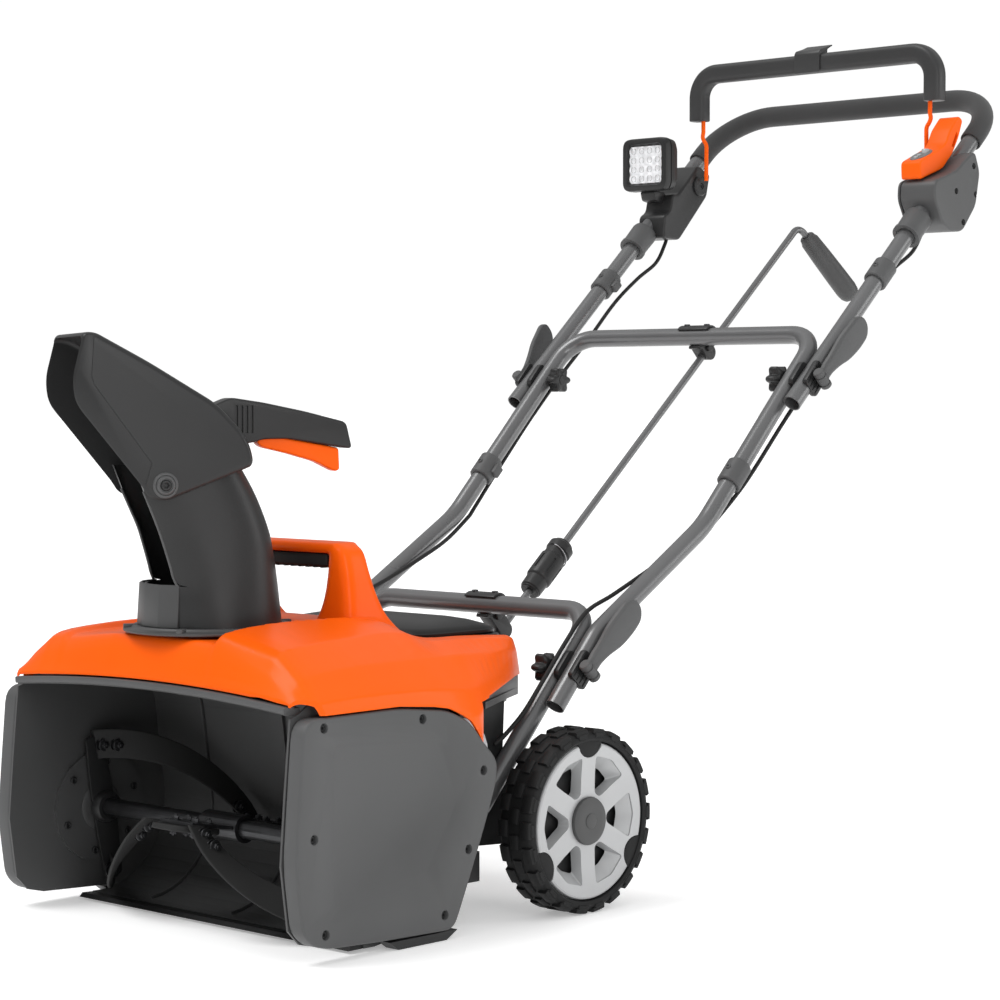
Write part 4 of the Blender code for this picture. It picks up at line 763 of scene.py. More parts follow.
# Rows of the chute's bore: height, rear and front u, half width, squareness.
CHUTE = [(0.3604, -0.083, 0.083, 0.083, 2.0), (0.385, -0.0795, 0.0805, 0.081, 2.15),
         (0.41, -0.076, 0.078, 0.079, 2.3), (0.445, -0.07, 0.0835, 0.0768, 2.6),
         (0.474, -0.063, 0.09, 0.0755, 2.8), (0.5135, -0.047, 0.108, 0.075, 3.0),
         (0.548, -0.0275, 0.122, 0.075, 3.2)]


def chute_rings(shrink, rows):
    count = 72
    columns = []
    for z, rear, front, half, power in rows:
        middle, reach, wide = (rear + front) / 2, (front - rear) / 2 - shrink, half - shrink
        ring = []
        for i in range(count):
            c, s = math.cos(math.tau * i / count), math.sin(math.tau * i / count)
            ring.append(Vector((middle + reach * math.copysign(abs(c) ** (2 / power), c),
                                wide * math.copysign(abs(s) ** (2 / power), s), z)))
        columns.append(ring)
    smoother = [spline(list(column), 5) for column in zip(*columns)]
    return [[CHUTE_FRAME @ p for p in ring] for ring in zip(*smoother)]


def chute_half(z):
    """Middle, reach, half width and squareness of the chute at a height."""
    for (z0, *low), (z1, *high) in zip(CHUTE, CHUTE[1:]):
        if z <= z1:
            t = (z - z0) / (z1 - z0)
            rear, front, half, power = [a + (b - a) * t for a, b in zip(low, high)]
            return (rear + front) / 2, (front - rear) / 2, half, power
    return None


def mouth_bead(side):
    """Rolled edge on one side of the opening in the chute's front."""
    edge = []
    for u, z in ((0.057, 0.41), (0.0612, 0.42), (0.0636, 0.43), (0.07, 0.4525),
                 (0.0768, 0.474), (0.0862, 0.497), (0.096, 0.52)):
        middle, reach, half, power = chute_half(z)
        share = min(max((u - middle) / reach, -1.0), 1.0)
        s = half * (1 - abs(share) ** power) ** (1 / power)
        edge.append(CHUTE_FRAME @ Vector((u - 0.0006, side * (s - 0.001), z)))
    return pipe("mouth_bead", spline(edge, 4), 0.0017, "grey", 8)


def flange_tab(degrees):
    """One of the clips that hold the chute's flange down."""
    turn = Matrix.Translation(at(0, CHUTE_Y, 0)) @ Matrix.Rotation(math.radians(degrees), 4, "Z")
    outline = corners([(0.089, -0.0045), (0.1044, -0.004), (0.1044, 0.004),
                       (0.089, 0.0045)], 0.0015, 3)
    rings = [[turn @ Vector((a, b, z)) for a, b in outline] for z in (0.356, 0.361)]
    return bevel(solid("tab", *skin(rings), "grey"), 0.0008, 2, 40)


def make_chute():
    body = solid("chute_shell", *skin(chute_rings(0.0, CHUTE)), "chute")
    longer = [(0.34, *CHUTE[0][1:])] + CHUTE[1:-1] + [(0.575, -0.02, 0.13, 0.075, 3.2)]
    cut(body, solid("bore", *skin(chute_rings(0.003, longer)), "grey"))
    front = [(0.045, 0.409), (0.0545, 0.411), (0.06, 0.418), (0.0625, 0.43),
             (0.0755, 0.474), (0.095, 0.52), (0.11, 0.56), (0.2, 0.56), (0.2, 0.409)]
    cut(body, chute_prism("mouth", front, -0.1, 0.1, "grey"))
    smooth(body, 35)
    place(body, "chute_turntable", "chute_body")
    place(gather("mouth_rim", [mouth_bead(side) for side, _ in SIDES]), "chute_turntable")

    outer = [(0.058, -0.064), (0.077, -0.045), (0.0868, -0.017), (0.0868, 0.017),
             (0.077, 0.045), (0.058, 0.064)]
    section = outer + [(u - 0.003, s * 0.96) for u, s in outer[::-1]]
    rings = [[CHUTE_FRAME @ Vector((u - 0.003 * t, s * (1 - 0.035 * t), 0.3606 + 0.05 * t))
              for u, s in section] for t in (0.0, 0.5, 1.0)]
    plate = bevel(solid("chute_lip", *skin(rings), "hub", 20), 0.0008, 2, 20)
    place(plate, "chute_turntable")

    profile = [(0.309, 0.0706), (0.309, 0.072), (0.352, 0.072), (0.3526, 0.103),
               (0.3536, 0.1046), (0.3552, 0.105), (0.3562, 0.1046), (0.3568, 0.103),
               (0.3574, 0.096), (0.3588, 0.0945), (0.3602, 0.093), (0.3603, 0.084),
               (0.3603, 0.0706)]
    ring = lathe("chute_flange", profile, at(0, CHUTE_Y, 0), (0, 0, 1), "hub", 96)
    place(ring, "chute_turntable", "chute_ring")
    tabs = [flange_tab(degrees) for degrees in (-128, -62, 10, 75, 150)]
    place(gather("flange_tabs", tabs), "chute_turntable")


CHEEK = [(0.17, 0.703), (0.155, 0.703), (0.0922, 0.669), (0.0133, 0.6216),
         (-0.017, 0.59), (-0.027, 0.572), (-0.032, 0.549), (0.0558, 0.515),
         (0.0752, 0.5075), (0.095, 0.513), (0.104, 0.5275), (0.18, 0.622),
         (0.183, 0.651)]
CHEEK_SPACE = [(0.21, 0.6985), (0.156, 0.6985), (0.0937, 0.666), (0.015, 0.6188),
               (-0.0145, 0.5885), (-0.0242, 0.5712), (-0.029, 0.55), (-0.029, 0.48),
               (0.21, 0.48)]
PIVOT_U, PIVOT_Z = 0.0752, 0.5275


def make_deflector():
    half = 0.0815
    shell = chute_prism("deflector_shell", corners(CHEEK, 0.013, 5), -half, half, "chute")
    bevel(shell, 0.0095, 5, 60)
    inner = half - 0.0032
    space = chute_prism("space", corners(CHEEK_SPACE, 0.01, 4), -inner, inner, "grey")
    bevel(space, 0.007, 4, 60)
    cut(shell, space)
    # A shallow step runs inside the mouth edge of each cheek, down to the pivot.
    step = [(0.178, 0.71), (0.1565, 0.708), (0.16, 0.653), (0.1568, 0.643),
            (0.0905, 0.553), (0.099, 0.526), (0.19, 0.61), (0.195, 0.71)]
    for side, _ in SIDES:
        cut(shell, chute_prism("step", step, side * (half - 0.001), side * (half + 0.01),
                               "grey"))
    start, end = (CHUTE_FRAME @ Vector((PIVOT_U, s, PIVOT_Z)) for s in (-0.1, 0.1))
    cut(shell, disc("bore", start, end - start, 0.0066, (end - start).length, "grey", 32))
    smooth(shell, 32)
    place(shell, "deflector_body", "deflector")

    bosses, bolts = [], []
    for side, _ in SIDES:
        axis = CHUTE_FRAME.to_3x3() @ Vector((0, side, 0))
        for radius, rise, edge in ((0.015, 0.002, 0.0014), (0.0112, 0.0042, 0.0016)):
            profile = [(-0.001, 0.0068), (-0.001, radius), (rise - edge, radius),
                       (rise, radius - edge), (rise, radius - 0.003),
                       (rise - 0.0012, radius - 0.0036), (rise - 0.0012, 0.0068)]
            bosses.append(lathe("boss", profile,
                                CHUTE_FRAME @ Vector((PIVOT_U, side * half, PIVOT_Z)), axis,
                                "grey", 40))
        centre = CHUTE_FRAME @ Vector((PIVOT_U, side * (half + 0.0005), PIVOT_Z))
        bolts.append(screw_head("bolt", centre, axis, 0.0064, 0.0042))
    place(gather("deflector_bosses", bosses), "deflector_body")
    place(gather("deflector_bolts", bolts), "deflector_body")


def make_handle():
    """The deflector's handle, with a squeeze lever in the slot below it."""
    outline = corners([(-0.0185, 0.596), (0.003, 0.619), (-0.02, 0.6285), (-0.06, 0.6225),
                       (-0.111, 0.612), (-0.163, 0.599), (-0.1705, 0.5665),
                       (-0.13, 0.573), (-0.09, 0.5792), (-0.06, 0.5788),
                       (-0.048, 0.575), (-0.0345, 0.573), (-0.029, 0.578)], 0.006, 4)
    arm = chute_prism("handle_arm", outline, -0.0165, 0.0165, "chute")
    bevel(arm, 0.004, 4, 60)
    slot = [(-0.05, 0.56), (-0.164, 0.56), (-0.164, 0.578), (-0.09, 0.593),
            (-0.05, 0.593)]
    cut(arm, chute_prism("slot", slot, -0.0125, 0.0125, "grey"))
    for side, _ in SIDES:
        for i in range(4):
            u = -0.027 - 0.0062 * i
            cut(arm, chute_prism("notch", rect(u - 0.0016, 0.586, u + 0.0016, 0.619),
                                 side * 0.014, side * 0.018, "grey"))
    smooth(arm, 35)
    place(arm, "deflector_body", "deflector_handle")

    pull = corners([(-0.0535, 0.588), (-0.07, 0.5875), (-0.09, 0.58), (-0.155, 0.568),
                    (-0.156, 0.5415), (-0.15, 0.5395), (-0.125, 0.552), (-0.09, 0.562),
                    (-0.06, 0.569), (-0.0535, 0.574)], 0.004, 4)
    lever = chute_prism("handle_trigger", pull, -0.0114, 0.0114, "orange_matt")
    bevel(lever, 0.0028, 3, 60)
    place(lever, "trigger_body", "deflector_trigger")


# ---------------------------------------------------------------- wheels

WHEEL_Y, WHEEL_Z = 0.449, 0.113
TREAD_BLOCKS = 22           # blocks in each of the three rows round a tyre


def wheel_rings(rows):
    """Rings for skin() from (x, outline) rows about the right-hand wheel's centre."""
    hub = at(0, WHEEL_Y, WHEEL_Z)
    return [[hub + Vector((x, a, b)) for a, b in outline] for x, outline in rows]


def polar(radius, degrees):
    return (radius * math.cos(math.radians(degrees)), radius * math.sin(math.radians(degrees)))


def tread_block(low, high, turn, wide):
    """One block of the tread, between two x, with lowered and chamfered edges."""
    rows = []
    for x, radius in ((low, 0.108), (low + 0.001, 0.1118), (low + 0.003, 0.1129),
                      (high - 0.003, 0.1129), (high - 0.001, 0.1118), (high, 0.108)):
        top = radius - (0.0012 if x in (low, high) else 0.0)
        rows.append((x, [polar(0.107, turn - wide)]
                     + [polar(top, turn + a) for a in
                        (0.5 - wide, -wide / 2, 0.0, wide / 2, wide - 0.5)]
                     + [polar(0.107, turn + wide)]))
    return solid("block", *skin(wheel_rings(rows)), "tyre", 30)


def shoulder_lug(side, turn):
    """A low pad on a tyre's wall, on its outer or inner side."""
    edge, face = ((0.2334, 0.2321), (0.2846, 0.2859))[side]
    rows = []
    for x, inner, outer, wide in ((edge - 0.001 + 0.002 * (1 - side), 0.101, 0.1095, 4.6),
                                  (face, 0.103, 0.1075, 3.8)):
        rows.append((x, [polar(inner, turn - wide), polar(outer, turn - wide),
                         polar(outer, turn), polar(outer, turn + wide),
                         polar(inner, turn + wide), polar(inner, turn)]))
    return solid("lug", *skin(wheel_rings(rows)), "tyre", 25)


def make_tyre():
    profile = [(0.241, 0.0972), (0.236, 0.0985), (0.2328, 0.102), (0.2335, 0.106),
               (0.2375, 0.1095), (0.25, 0.1102), (0.268, 0.1102), (0.28, 0.109),
               (0.2845, 0.105), (0.2855, 0.101), (0.2835, 0.0978), (0.28, 0.0972)]
    carcass = lathe("tyre_right_carcass", profile, at(0, WHEEL_Y, WHEEL_Z), (1, 0, 0), "tyre", 96)
    pitch = 360 / TREAD_BLOCKS
    lanes = ((0.2335, 0.2495, 0.0, 5.6), (0.252, 0.2665, 0.5, 5.0), (0.269, 0.285, 0.0, 5.6))
    blocks = [tread_block(low, high, (i + shift) * pitch, wide) for i in range(TREAD_BLOCKS)
              for low, high, shift, wide in lanes]
    lugs = [shoulder_lug(side, i * pitch) for i in range(TREAD_BLOCKS) for side in (0, 1)]
    return carcass, gather("tyre_right_tread", blocks), gather("tyre_right_lugs", lugs)


def rim_insert(middle):
    """Dark pad in one of the rim's scallops, trimmed to the rim's edge."""
    cx, cz = polar(0.1, middle)
    outline = []
    for a, b in circle(0.0218, 40):
        reach = max(math.hypot(cx + a, cz + b), 0.099)
        outline.append(((cx + a) * 0.099 / reach, (cz + b) * 0.099 / reach))
    rings = wheel_rings([(0.2758, outline), (0.2826, outline)])
    return bevel(solid("insert", *skin(rings), "tyre"), 0.0008, 2, 50)


def make_rim():
    hub = at(0, WHEEL_Y, WHEEL_Z)
    profile = [(0.2405, 0.0086), (0.2405, 0.02), (0.264, 0.02), (0.266, 0.08),
               (0.24, 0.088), (0.24, 0.0964), (0.279, 0.0964), (0.2828, 0.0945),
               (0.2838, 0.0925), (0.2828, 0.088), (0.28, 0.06), (0.279, 0.03),
               (0.28, 0.0086)]
    rim = lathe("rim_right", profile, hub, (1, 0, 0), "silver", 96)
    for middle in range(0, 360, 60):
        near, far = (corners([polar(outer, middle - wide), polar(outer + rise, middle),
                              polar(outer, middle + wide), polar(inner, middle + narrow),
                              polar(inner, middle - narrow)], 0.005, 3)
                     for outer, rise, wide, inner, narrow in
                     ((0.0795, 0.0025, 21, 0.0345, 9), (0.064, 0.0015, 17, 0.038, 6)))
        rings = wheel_rings([(0.29, near), (0.28, near), (0.263, far), (0.25, far)])
        cut(rim, solid("window", *skin(rings), "silver"))
    thirds = (90, 210, 330)
    for middle in thirds:
        centre = polar(0.1, middle)
        bite = [(centre[0] + a, centre[1] + b) for a, b in circle(0.0225, 32)]
        cut(rim, solid("scallop", *skin(wheel_rings([(0.276, bite), (0.29, bite)])),
                       "silver"))
    smooth(rim, 30)
    insert = gather("rim_right_inserts", [rim_insert(middle) for middle in thirds])
    back = lathe("rim_right_back", [(0.256, 0.02), (0.256, 0.084), (0.259, 0.084),
                                    (0.259, 0.02)], hub, (1, 0, 0), "black", 64)
    cap = lathe("rim_right_cap", [(0.279, 0.009), (0.279, 0.029), (0.2815, 0.0296),
                                  (0.2838, 0.0285), (0.2848, 0.026), (0.2852, 0.018),
                                  (0.2848, 0.009)], hub, (1, 0, 0), "hub", 64)
    nut = disc("rim_right_nut", hub + Vector((0.2835, 0, 0)), (1, 0, 0), 0.0094, 0.0022, "hub",
               32, 0.0008)
    return rim, insert, back, cap, nut


def make_wheels():
    right = list(make_rim()) + list(make_tyre())
    for item in right:
        twin = mirrored(item.name.replace("right", "left"), item)
        for piece, word in ((item, "right"), (twin, "left")):
            nodes = []
            if piece.name.startswith("rim_") and piece.name.endswith(word):
                nodes = ["wheel_rim_" + word]
            if piece.name.endswith("carcass"):
                nodes = ["tyre_" + word]
            place(piece, "wheel_%s_body" % word, *nodes)


# ---------------------------------------------------------------- auger

AUGER = (0.112, 0.115)      # y and z of the auger's axis
FLIGHT_STARTS = (100, 280)  # degrees at which the flights leave the end walls
FLIGHT_TURN, FLIGHT_END = 110, 0.2395
WALL_X = 0.2408             # inner face of the housing's end walls


def hex_bolt(name, centre, axis, size=0.0048, washer=0.0082):
    """A washer with a hexagon nut and a short stud standing on a surface."""
    axis = Vector(axis).normalized()
    base = lathe(name, [(-0.001, 0.001), (-0.001, washer), (0.0008, washer),
                        (0.0012, washer - 0.0006), (0.0012, 0.001)], centre, axis,
                 "dark_steel", 24)
    nut = disc("nut", centre + axis * 0.0011, axis, size, 0.004, "dark_steel", 6, 0.0007)
    stud = disc("stud", centre + axis * 0.0045, axis, size * 0.5, 0.0022, "dark_steel", 14, 0.0004)
    return merge(merge(base, nut), stud)


def around_auger(x, radius, angle):
    return at(x, AUGER[0] + radius * math.cos(angle), AUGER[1] + radius * math.sin(angle))


def helix(side, start, share):
    """Position along a flight: x and angle."""
    return side * (0.2365 + (0.04 - 0.2365) * share), math.radians(start - FLIGHT_TURN * share)


def ribbon(side, start):
    """One rubber flight, wound round the auger from the end wall towards the middle."""
    rings = []
    steps = 56
    for i in range(steps + 1):
        share = i / steps
        x, angle = helix(side, start, share)
        inner = 0.061 + 0.01 * share
        outer = 0.099 - 0.004 * max(0.0, share - 0.85) / 0.15
        section = corners(rect(-0.003, inner, 0.003, outer), 0.0022, 3)
        rings.append([around_auger(min(max(x + dx, -FLIGHT_END), FLIGHT_END), radius, angle)
                      for dx, radius in section])
    return solid("ribbon", *skin(rings), "rubber", 35)


def make_flights(side, word):
    bolts = []
    ribbons = []
    for start in FLIGHT_STARTS:
        ribbons.append(ribbon(side, start))
        for share in (0.045, 0.12, 0.86, 0.94):
            x, angle = helix(side, start, share)
            bolts += [hex_bolt("bolt", around_auger(x + face * 0.003, 0.079, angle),
                               (face, 0, 0)) for face in (-1, 1)]
    flight = gather("auger_flight_%s_ribbons" % word, ribbons)
    place(flight, "auger_body", "auger_flight_" + word)
    place(gather("auger_flight_%s_bolts" % word, bolts), "auger_body")


def make_arm(side, word):
    """Flat arm across the shaft's end that carries the outer ends of the flights."""
    start = math.radians(FLIGHT_STARTS[0])
    along = Vector((math.cos(start), math.sin(start)))
    across = Vector((-along.y, along.x))
    outline = corners([tuple(Vector(AUGER) + along * a * 0.091 + across * b * w)
                       for a, b, w in ((1, 1, 0.013), (0.3, 1, 0.017), (-0.3, 1, 0.017),
                                       (-1, 1, 0.013), (-1, -1, 0.013), (-0.3, -1, 0.017),
                                       (0.3, -1, 0.017), (1, -1, 0.013))], 0.006, 4)
    arm = prism("auger_arm_" + word, outline, side * 0.233, side * 0.2377, "X", "black")
    hub = lathe("hub", [(0.0, 0.0114), (0.0, 0.02), (0.01, 0.019), (0.012, 0.017),
                        (0.012, 0.0114)], at(side * 0.2345, *AUGER), (-side, 0, 0), "black", 32)
    merge(bevel(arm, 0.0012, 2, 40), hub)
    place(arm, "auger_body")


def paddle_outline():
    """Throwing paddle seen square on: x across, radius up, with rounded shoulders."""
    return corners([(-0.032, 0.033), (0.032, 0.033), (0.0343, 0.06), (0.034, 0.085),
                    (0.022, 0.0985), (-0.022, 0.0985), (-0.034, 0.085),
                    (-0.0343, 0.06)], 0.014, 6)


def make_paddles():
    centre = at(0, *AUGER)
    for word, degrees in (("a", 80), ("b", 260)):
        turn = Matrix.Translation(centre) @ Matrix.Rotation(math.radians(degrees), 4, "X")
        rings = [[turn @ Vector((x, y, r)) for x, r in paddle_outline()]
                 for y in (-0.01, -0.0026)]
        blade = solid("auger_paddle_%s_blade" % word, *skin(rings), "rubber")
        bevel(blade, 0.0022, 3, 50)
        place(blade, "auger_body", "auger_paddle_" + word)
        bolts = []
        for x, radius in ((-0.018, 0.046), (0.018, 0.046), (-0.018, 0.066), (0.018, 0.066)):
            for y, way, washer in ((-0.01, -1, 0.0078), (0.0022, 1, 0.007)):
                bolts.append(hex_bolt("bolt", turn @ Vector((x, y, radius)),
                                      turn.to_3x3() @ Vector((0, way, 0)), 0.0046, washer))
        place(gather("auger_paddle_%s_bolts" % word, bolts), "auger_body")


def make_housing_details():
    """Bearing bosses with their screws on the end walls, and ribs round the scroll."""
    for side, word in SIDES:
        boss = lathe("bearing_boss_" + word,
                     [(0.0, 0.013), (0.0, 0.03), (0.001, 0.03), (0.0018, 0.0285),
                      (0.0022, 0.024), (0.0022, 0.013)], at(side * WALL_X, *AUGER),
                     (-side, 0, 0), "housing", 48)
        place(boss, "chassis")
        screws = [screw_head("screw", around_auger(side * WALL_X, 0.056,
                                                   math.radians(60 * i + 20)),
                             (-side, 0, 0), 0.0048, 0.0026) for i in range(6)]
        place(gather("bearing_screws_" + word, screws), "chassis")
    for i, x in enumerate((-0.15, 0.0, 0.15)):
        ridge = [around_auger(x, 0.1072, math.radians(-86 + 95 * k / 12)) for k in range(13)]
        ridge += [at(x, 0.2028, 0.24), at(x, 0.1872, 0.289)]
        section = corners(rect(-0.003, -0.0012, 0.003, 0.0012), 0.0006, 2)
        place(sweep("housing_rib_%d" % i, ridge, section, "housing", up=(1, 0, 0)), "chassis")


# ---------------------------------------------------------------- handles

BRACKET_X, MID_X, UPPER_X = 0.199, 0.226, 0.2525
TUBE_RADIUS = 0.0125
MID_BEND = Vector((0.735, 0.4595))
LOW_PIVOT, MID_PIVOT = Vector((0.487, 0.291)), Vector((0.927, 0.653))
LOW_BAR, MID_BAR, TOP_BAR = Vector((0.548, 0.358)), Vector((0.985, 0.714)), Vector((1.392, 1.068))


def run_z(first, second, y):
    """Height at y on the line through two (y, z) points."""
    return first.y + (second.y - first.y) * (y - first.x) / (second.x - first.x)


def bracket_z(y):
    return run_z(LOW_PIVOT, LOW_BAR, y)


def upper_z(y):
    return run_z(MID_PIVOT, TOP_BAR, y)


ROD_X, ROD_SLOPE = 0.012, 0.869
ROD_FOOT = Vector((0.4312, 0.1944))


def rod_z(y):
    return ROD_FOOT.y + ROD_SLOPE * (y - ROD_FOOT.x)


def tube_place(pivot, along, a, b):
    """The (y, z) point a along a tube from a pivot and b across it."""
    along = Vector(along).normalized()
    return tuple(pivot + along * a + Vector((-along.y, along.x)) * b)


def tube(name, path, radius=TUBE_RADIUS, mat="paint", sides=28, wall=0.0016):
    """An open-ended round tube along a path."""
    across = path[0] - path[1]
    across = across.orthogonal().normalized()
    outer, inner = [], []
    for i, point in enumerate(path):
        along = (path[min(i + 1, len(path) - 1)] - path[max(i - 1, 0)]).normalized()
        across = (across - along * across.dot(along)).normalized()
        other = along.cross(across)
        for rings, reach in ((outer, radius), (inner, radius - wall)):
            rings.append([point + across * a + other * b for a, b in circle(reach, sides)])
    return solid(name, *skin(outer + inner[::-1], closed=True), mat, 45)


def u_path(leg, x, radii):
    """A bent tube's path up one side, across and down the other, from one side's (y, z)."""
    right = [at(x, y, z) for y, z in leg]
    left = [at(-x, y, z) for y, z in leg[::-1]]
    return rounded(right + left, radii + radii[::-1], 10)


def make_tubes():
    foot = 0.342
    bracket = tube("bracket_tube", u_path([(foot, bracket_z(foot)), LOW_BAR], BRACKET_X, [0.04]))
    place(bracket, "chassis", "lower_bracket")
    tail = 0.448
    leg = [(tail, bracket_z(tail)), (0.526, bracket_z(0.526)), MID_BEND, MID_BAR]
    middle = tube("mid_tube", u_path(leg, MID_X, [0.08, 0.16, 0.045]))
    place(middle, "mid_section", "mid_handle")
    start = 0.89
    ends = [at(UPPER_X, start, upper_z(start)), at(UPPER_X, *TOP_BAR), at(-UPPER_X, *TOP_BAR),
            at(-UPPER_X, start, upper_z(start))]
    path = rounded(ends, [0.085, 0.085], 14)
    upper = tube("upper_tube", path)
    place(upper, "upper_section", "upper_handle")

    along = (path[1] - path[0]).normalized()
    back = (path[-2] - path[-1]).normalized()
    sleeve = [path[1] - along * 0.022] + path[1:-1] + [path[-2] - back * 0.022]
    foam = tube("grip_foam", sleeve, 0.0158, "foam", 32, 0.0028)
    bevel(foam, 0.0012, 2, 60)
    place(foam, "upper_section", "handlebar_foam")


def star(name, side, x_head, y, z):
    """A six-lobed clamping knob with a raised boss, on its side of a tube."""
    lobes, rings = 6, []
    for x, grow in ((0.0, 0.011), (0.0035, 0.0132), (0.006, 0.0163), (0.017, 0.0163),
                    (0.0192, 0.015), (0.02, 0.0125)):
        ring = []
        for i in range(72):
            angle = math.tau * i / 72
            wave = 0.0029 * math.cos(lobes * angle) if grow > 0.012 else 0.0
            wave = wave if wave > 0 else wave * 1.2
            ring.append(at(side * (x_head - x), y + (grow + wave) * math.cos(angle),
                           z + (grow + wave) * math.sin(angle)))
        rings.append(ring)
    knob = solid(name, *skin(rings), "black", 50)
    cap = disc("cap", at(side * (x_head - 0.0195), y, z), (-side, 0, 0), 0.007, 0.0014, "black",
               24, 0.0008)
    return merge(knob, cap)


def make_lever(name, side, x_base, pivot, along):
    """Quick-release lever: a flared blade on a round root that lies along the tube."""
    def point(x, a, b):
        return at(side * x, *tube_place(pivot, along, a, b))

    blade = corners([(-0.004, -0.009), (0.018, -0.0098), (0.036, -0.013), (0.054, -0.02),
                     (0.078, -0.0225), (0.098, -0.02), (0.1085, -0.008), (0.1095, 0.008),
                     (0.099, 0.0172), (0.06, 0.0168), (0.04, 0.012), (0.018, 0.0095),
                     (-0.004, 0.009)], 0.009, 5)
    base, lift = x_base + 0.003, 0.016
    rings = []
    for level, shrink in ((0.0, 0.0012), (0.0012, 0.0), (0.0052, 0.0), (0.007, 0.0008),
                          (0.008, 0.0024), (0.0085, 0.0048)):
        outline = inset(blade, shrink) if shrink else blade
        rings.append([point(base + level + lift * max(a - 0.02, 0) / 0.09, a, b)
                      for a, b in outline])
    lever = solid(name, *skin(rings), "grey", 45)
    half = [(0.0052, 0.008), (0.0056, 0.0068), (0.0084, 0.0068), (0.0088, 0.008),
            (0.0132, 0.0077), (0.0145, 0.0064), (0.0145, 0.0)]
    root = lathe("root", [(-x, r) for x, r in half[::-1]] + half,
                 point(x_base + 0.0085, 0, 0), point(0, 0, 1) - point(0, 0, 0), "grey", 32,
                 closed=False)
    join(lever, root)
    smooth(lever, 35)
    return lever


def clamp_cup(name, side, x, pivot, along):
    """Shaped spacer between two tubes at a pivot."""
    outline = corners([tube_place(pivot, along, a, b) for a, b in
                       ((-0.019, -0.0165), (0.019, -0.0165), (0.022, 0.0), (0.019, 0.0165),
                        (-0.019, 0.0165), (-0.022, 0.0))], 0.007, 4)
    cup = prism(name, outline, side * (x - 0.004), side * (x + 0.004), "X", "black")
    return bevel(cup, 0.001, 2, 50)


def clamp_seat(name, side, x_out, pivot, along):
    """Black seat with a grid of ribs on the outer tube, under the quick-release lever."""
    outline = corners([tube_place(pivot, along, a, b) for a, b in
                       rect(-0.02, -0.016, 0.022, 0.016)], 0.006, 4)
    seat = prism(name, outline, side * (x_out - 0.006), side * (x_out + 0.0016), "X", "black")
    bevel(seat, 0.0012, 2, 50)
    thin = 0.0006
    for i in range(4):
        shift = -0.0105 + 0.007 * i
        for a0, b0, a1, b1 in ((-0.017, shift, 0.019, shift),
                               (shift + 0.001, -0.013, shift + 0.001, 0.013)):
            rib = [tube_place(pivot, along, a, b)
                   for a, b in ((a0 - thin, b0 - thin), (a1 + thin, b1 - thin),
                                (a1 + thin, b1 + thin), (a0 - thin, b0 + thin))]
            merge(seat, prism("rib", rib, side * (x_out + 0.0012), side * (x_out + 0.0024), "X",
                              "grey"))
    return seat


def make_clamps():
    """At each pivot a star knob, a lever, a spacer and a seat."""
    rows = (("low", LOW_PIVOT, LOW_BAR - LOW_PIVOT, BRACKET_X, MID_X, "chassis"),
            ("mid", MID_PIVOT, MID_BAR - MID_PIVOT, MID_X, UPPER_X, "mid_section"))
    for side, word in SIDES:
        for level, pivot, along, inner, outer, body in rows:
            x_head, x_out = inner - TUBE_RADIUS - 0.001, outer + TUBE_RADIUS
            tag = "%s_%s" % (level, word)
            knob = star("%s_knob_%s_star" % (level, word), side, x_head, *pivot)
            bolt = disc("bolt", at(side * (x_head - 0.002), *pivot), (side, 0, 0), 0.0039,
                        x_out + 0.003 - x_head, "steel", 20, 0.0004)
            merge(knob, bolt)
            place(knob, "%s_knob_%s_body" % (level, word), "%s_knob_%s" % (level, word))
            lever = make_lever("%s_lever_%s_blade" % (level, word), side, x_out + 0.002, pivot,
                               along)
            place(lever, "%s_lever_%s_body" % (level, word), "%s_lever_%s" % (level, word))
            place(clamp_cup("clamp_cup_" + tag, side, (inner + outer) / 2, pivot, along), body)
            place(clamp_seat("clamp_seat_" + tag, side, x_out, pivot, along), body)


def make_clip(name, x, y, z, along, body):
    """A snap-on cable clip round a tube, with its screwed lug on the inner side."""
    side = math.copysign(1, x)
    half = 0.018
    middle = at(x, y, z)
    axis = Vector((0, *along))
    turn = basis(axis)
    profile = [(-half, 0.0129), (-half, 0.0155), (-half + 0.0015, 0.0168),
               (half - 0.0015, 0.0168), (half, 0.0155), (half, 0.0129)]
    ring = lathe(name, profile, middle, axis, "grey", 32)
    across = (turn.to_3x3() @ Vector((0, 0, 1))).normalized()
    lug = box("lug", (-0.0085, -0.006, -0.007), (0.0085, 0.006, 0.007), "grey", 0.0018, 2)
    lug.data.transform(Matrix.Translation(-at(0, 0, 0)))
    lug.data.transform(Matrix.Translation(middle - Vector((side * 0.016, 0, 0))
                                          - across * 0.004) @ turn)
    merge(ring, lug)
    merge(ring, screw_head("screw", middle + across * 0.016, across, 0.0038, 0.0026))
    place(ring, body)


def make_clips():
    for side, word in SIDES:
        y = 0.8
        make_clip("cable_clip_mid_" + word, side * MID_X, y, run_z(MID_BEND, MID_BAR, y),
                  MID_BAR - MID_BEND, "mid_section")
        y = 1.091
        make_clip("cable_clip_upper_" + word, side * UPPER_X, y, upper_z(y),
                  TOP_BAR - MID_PIVOT, "upper_section")


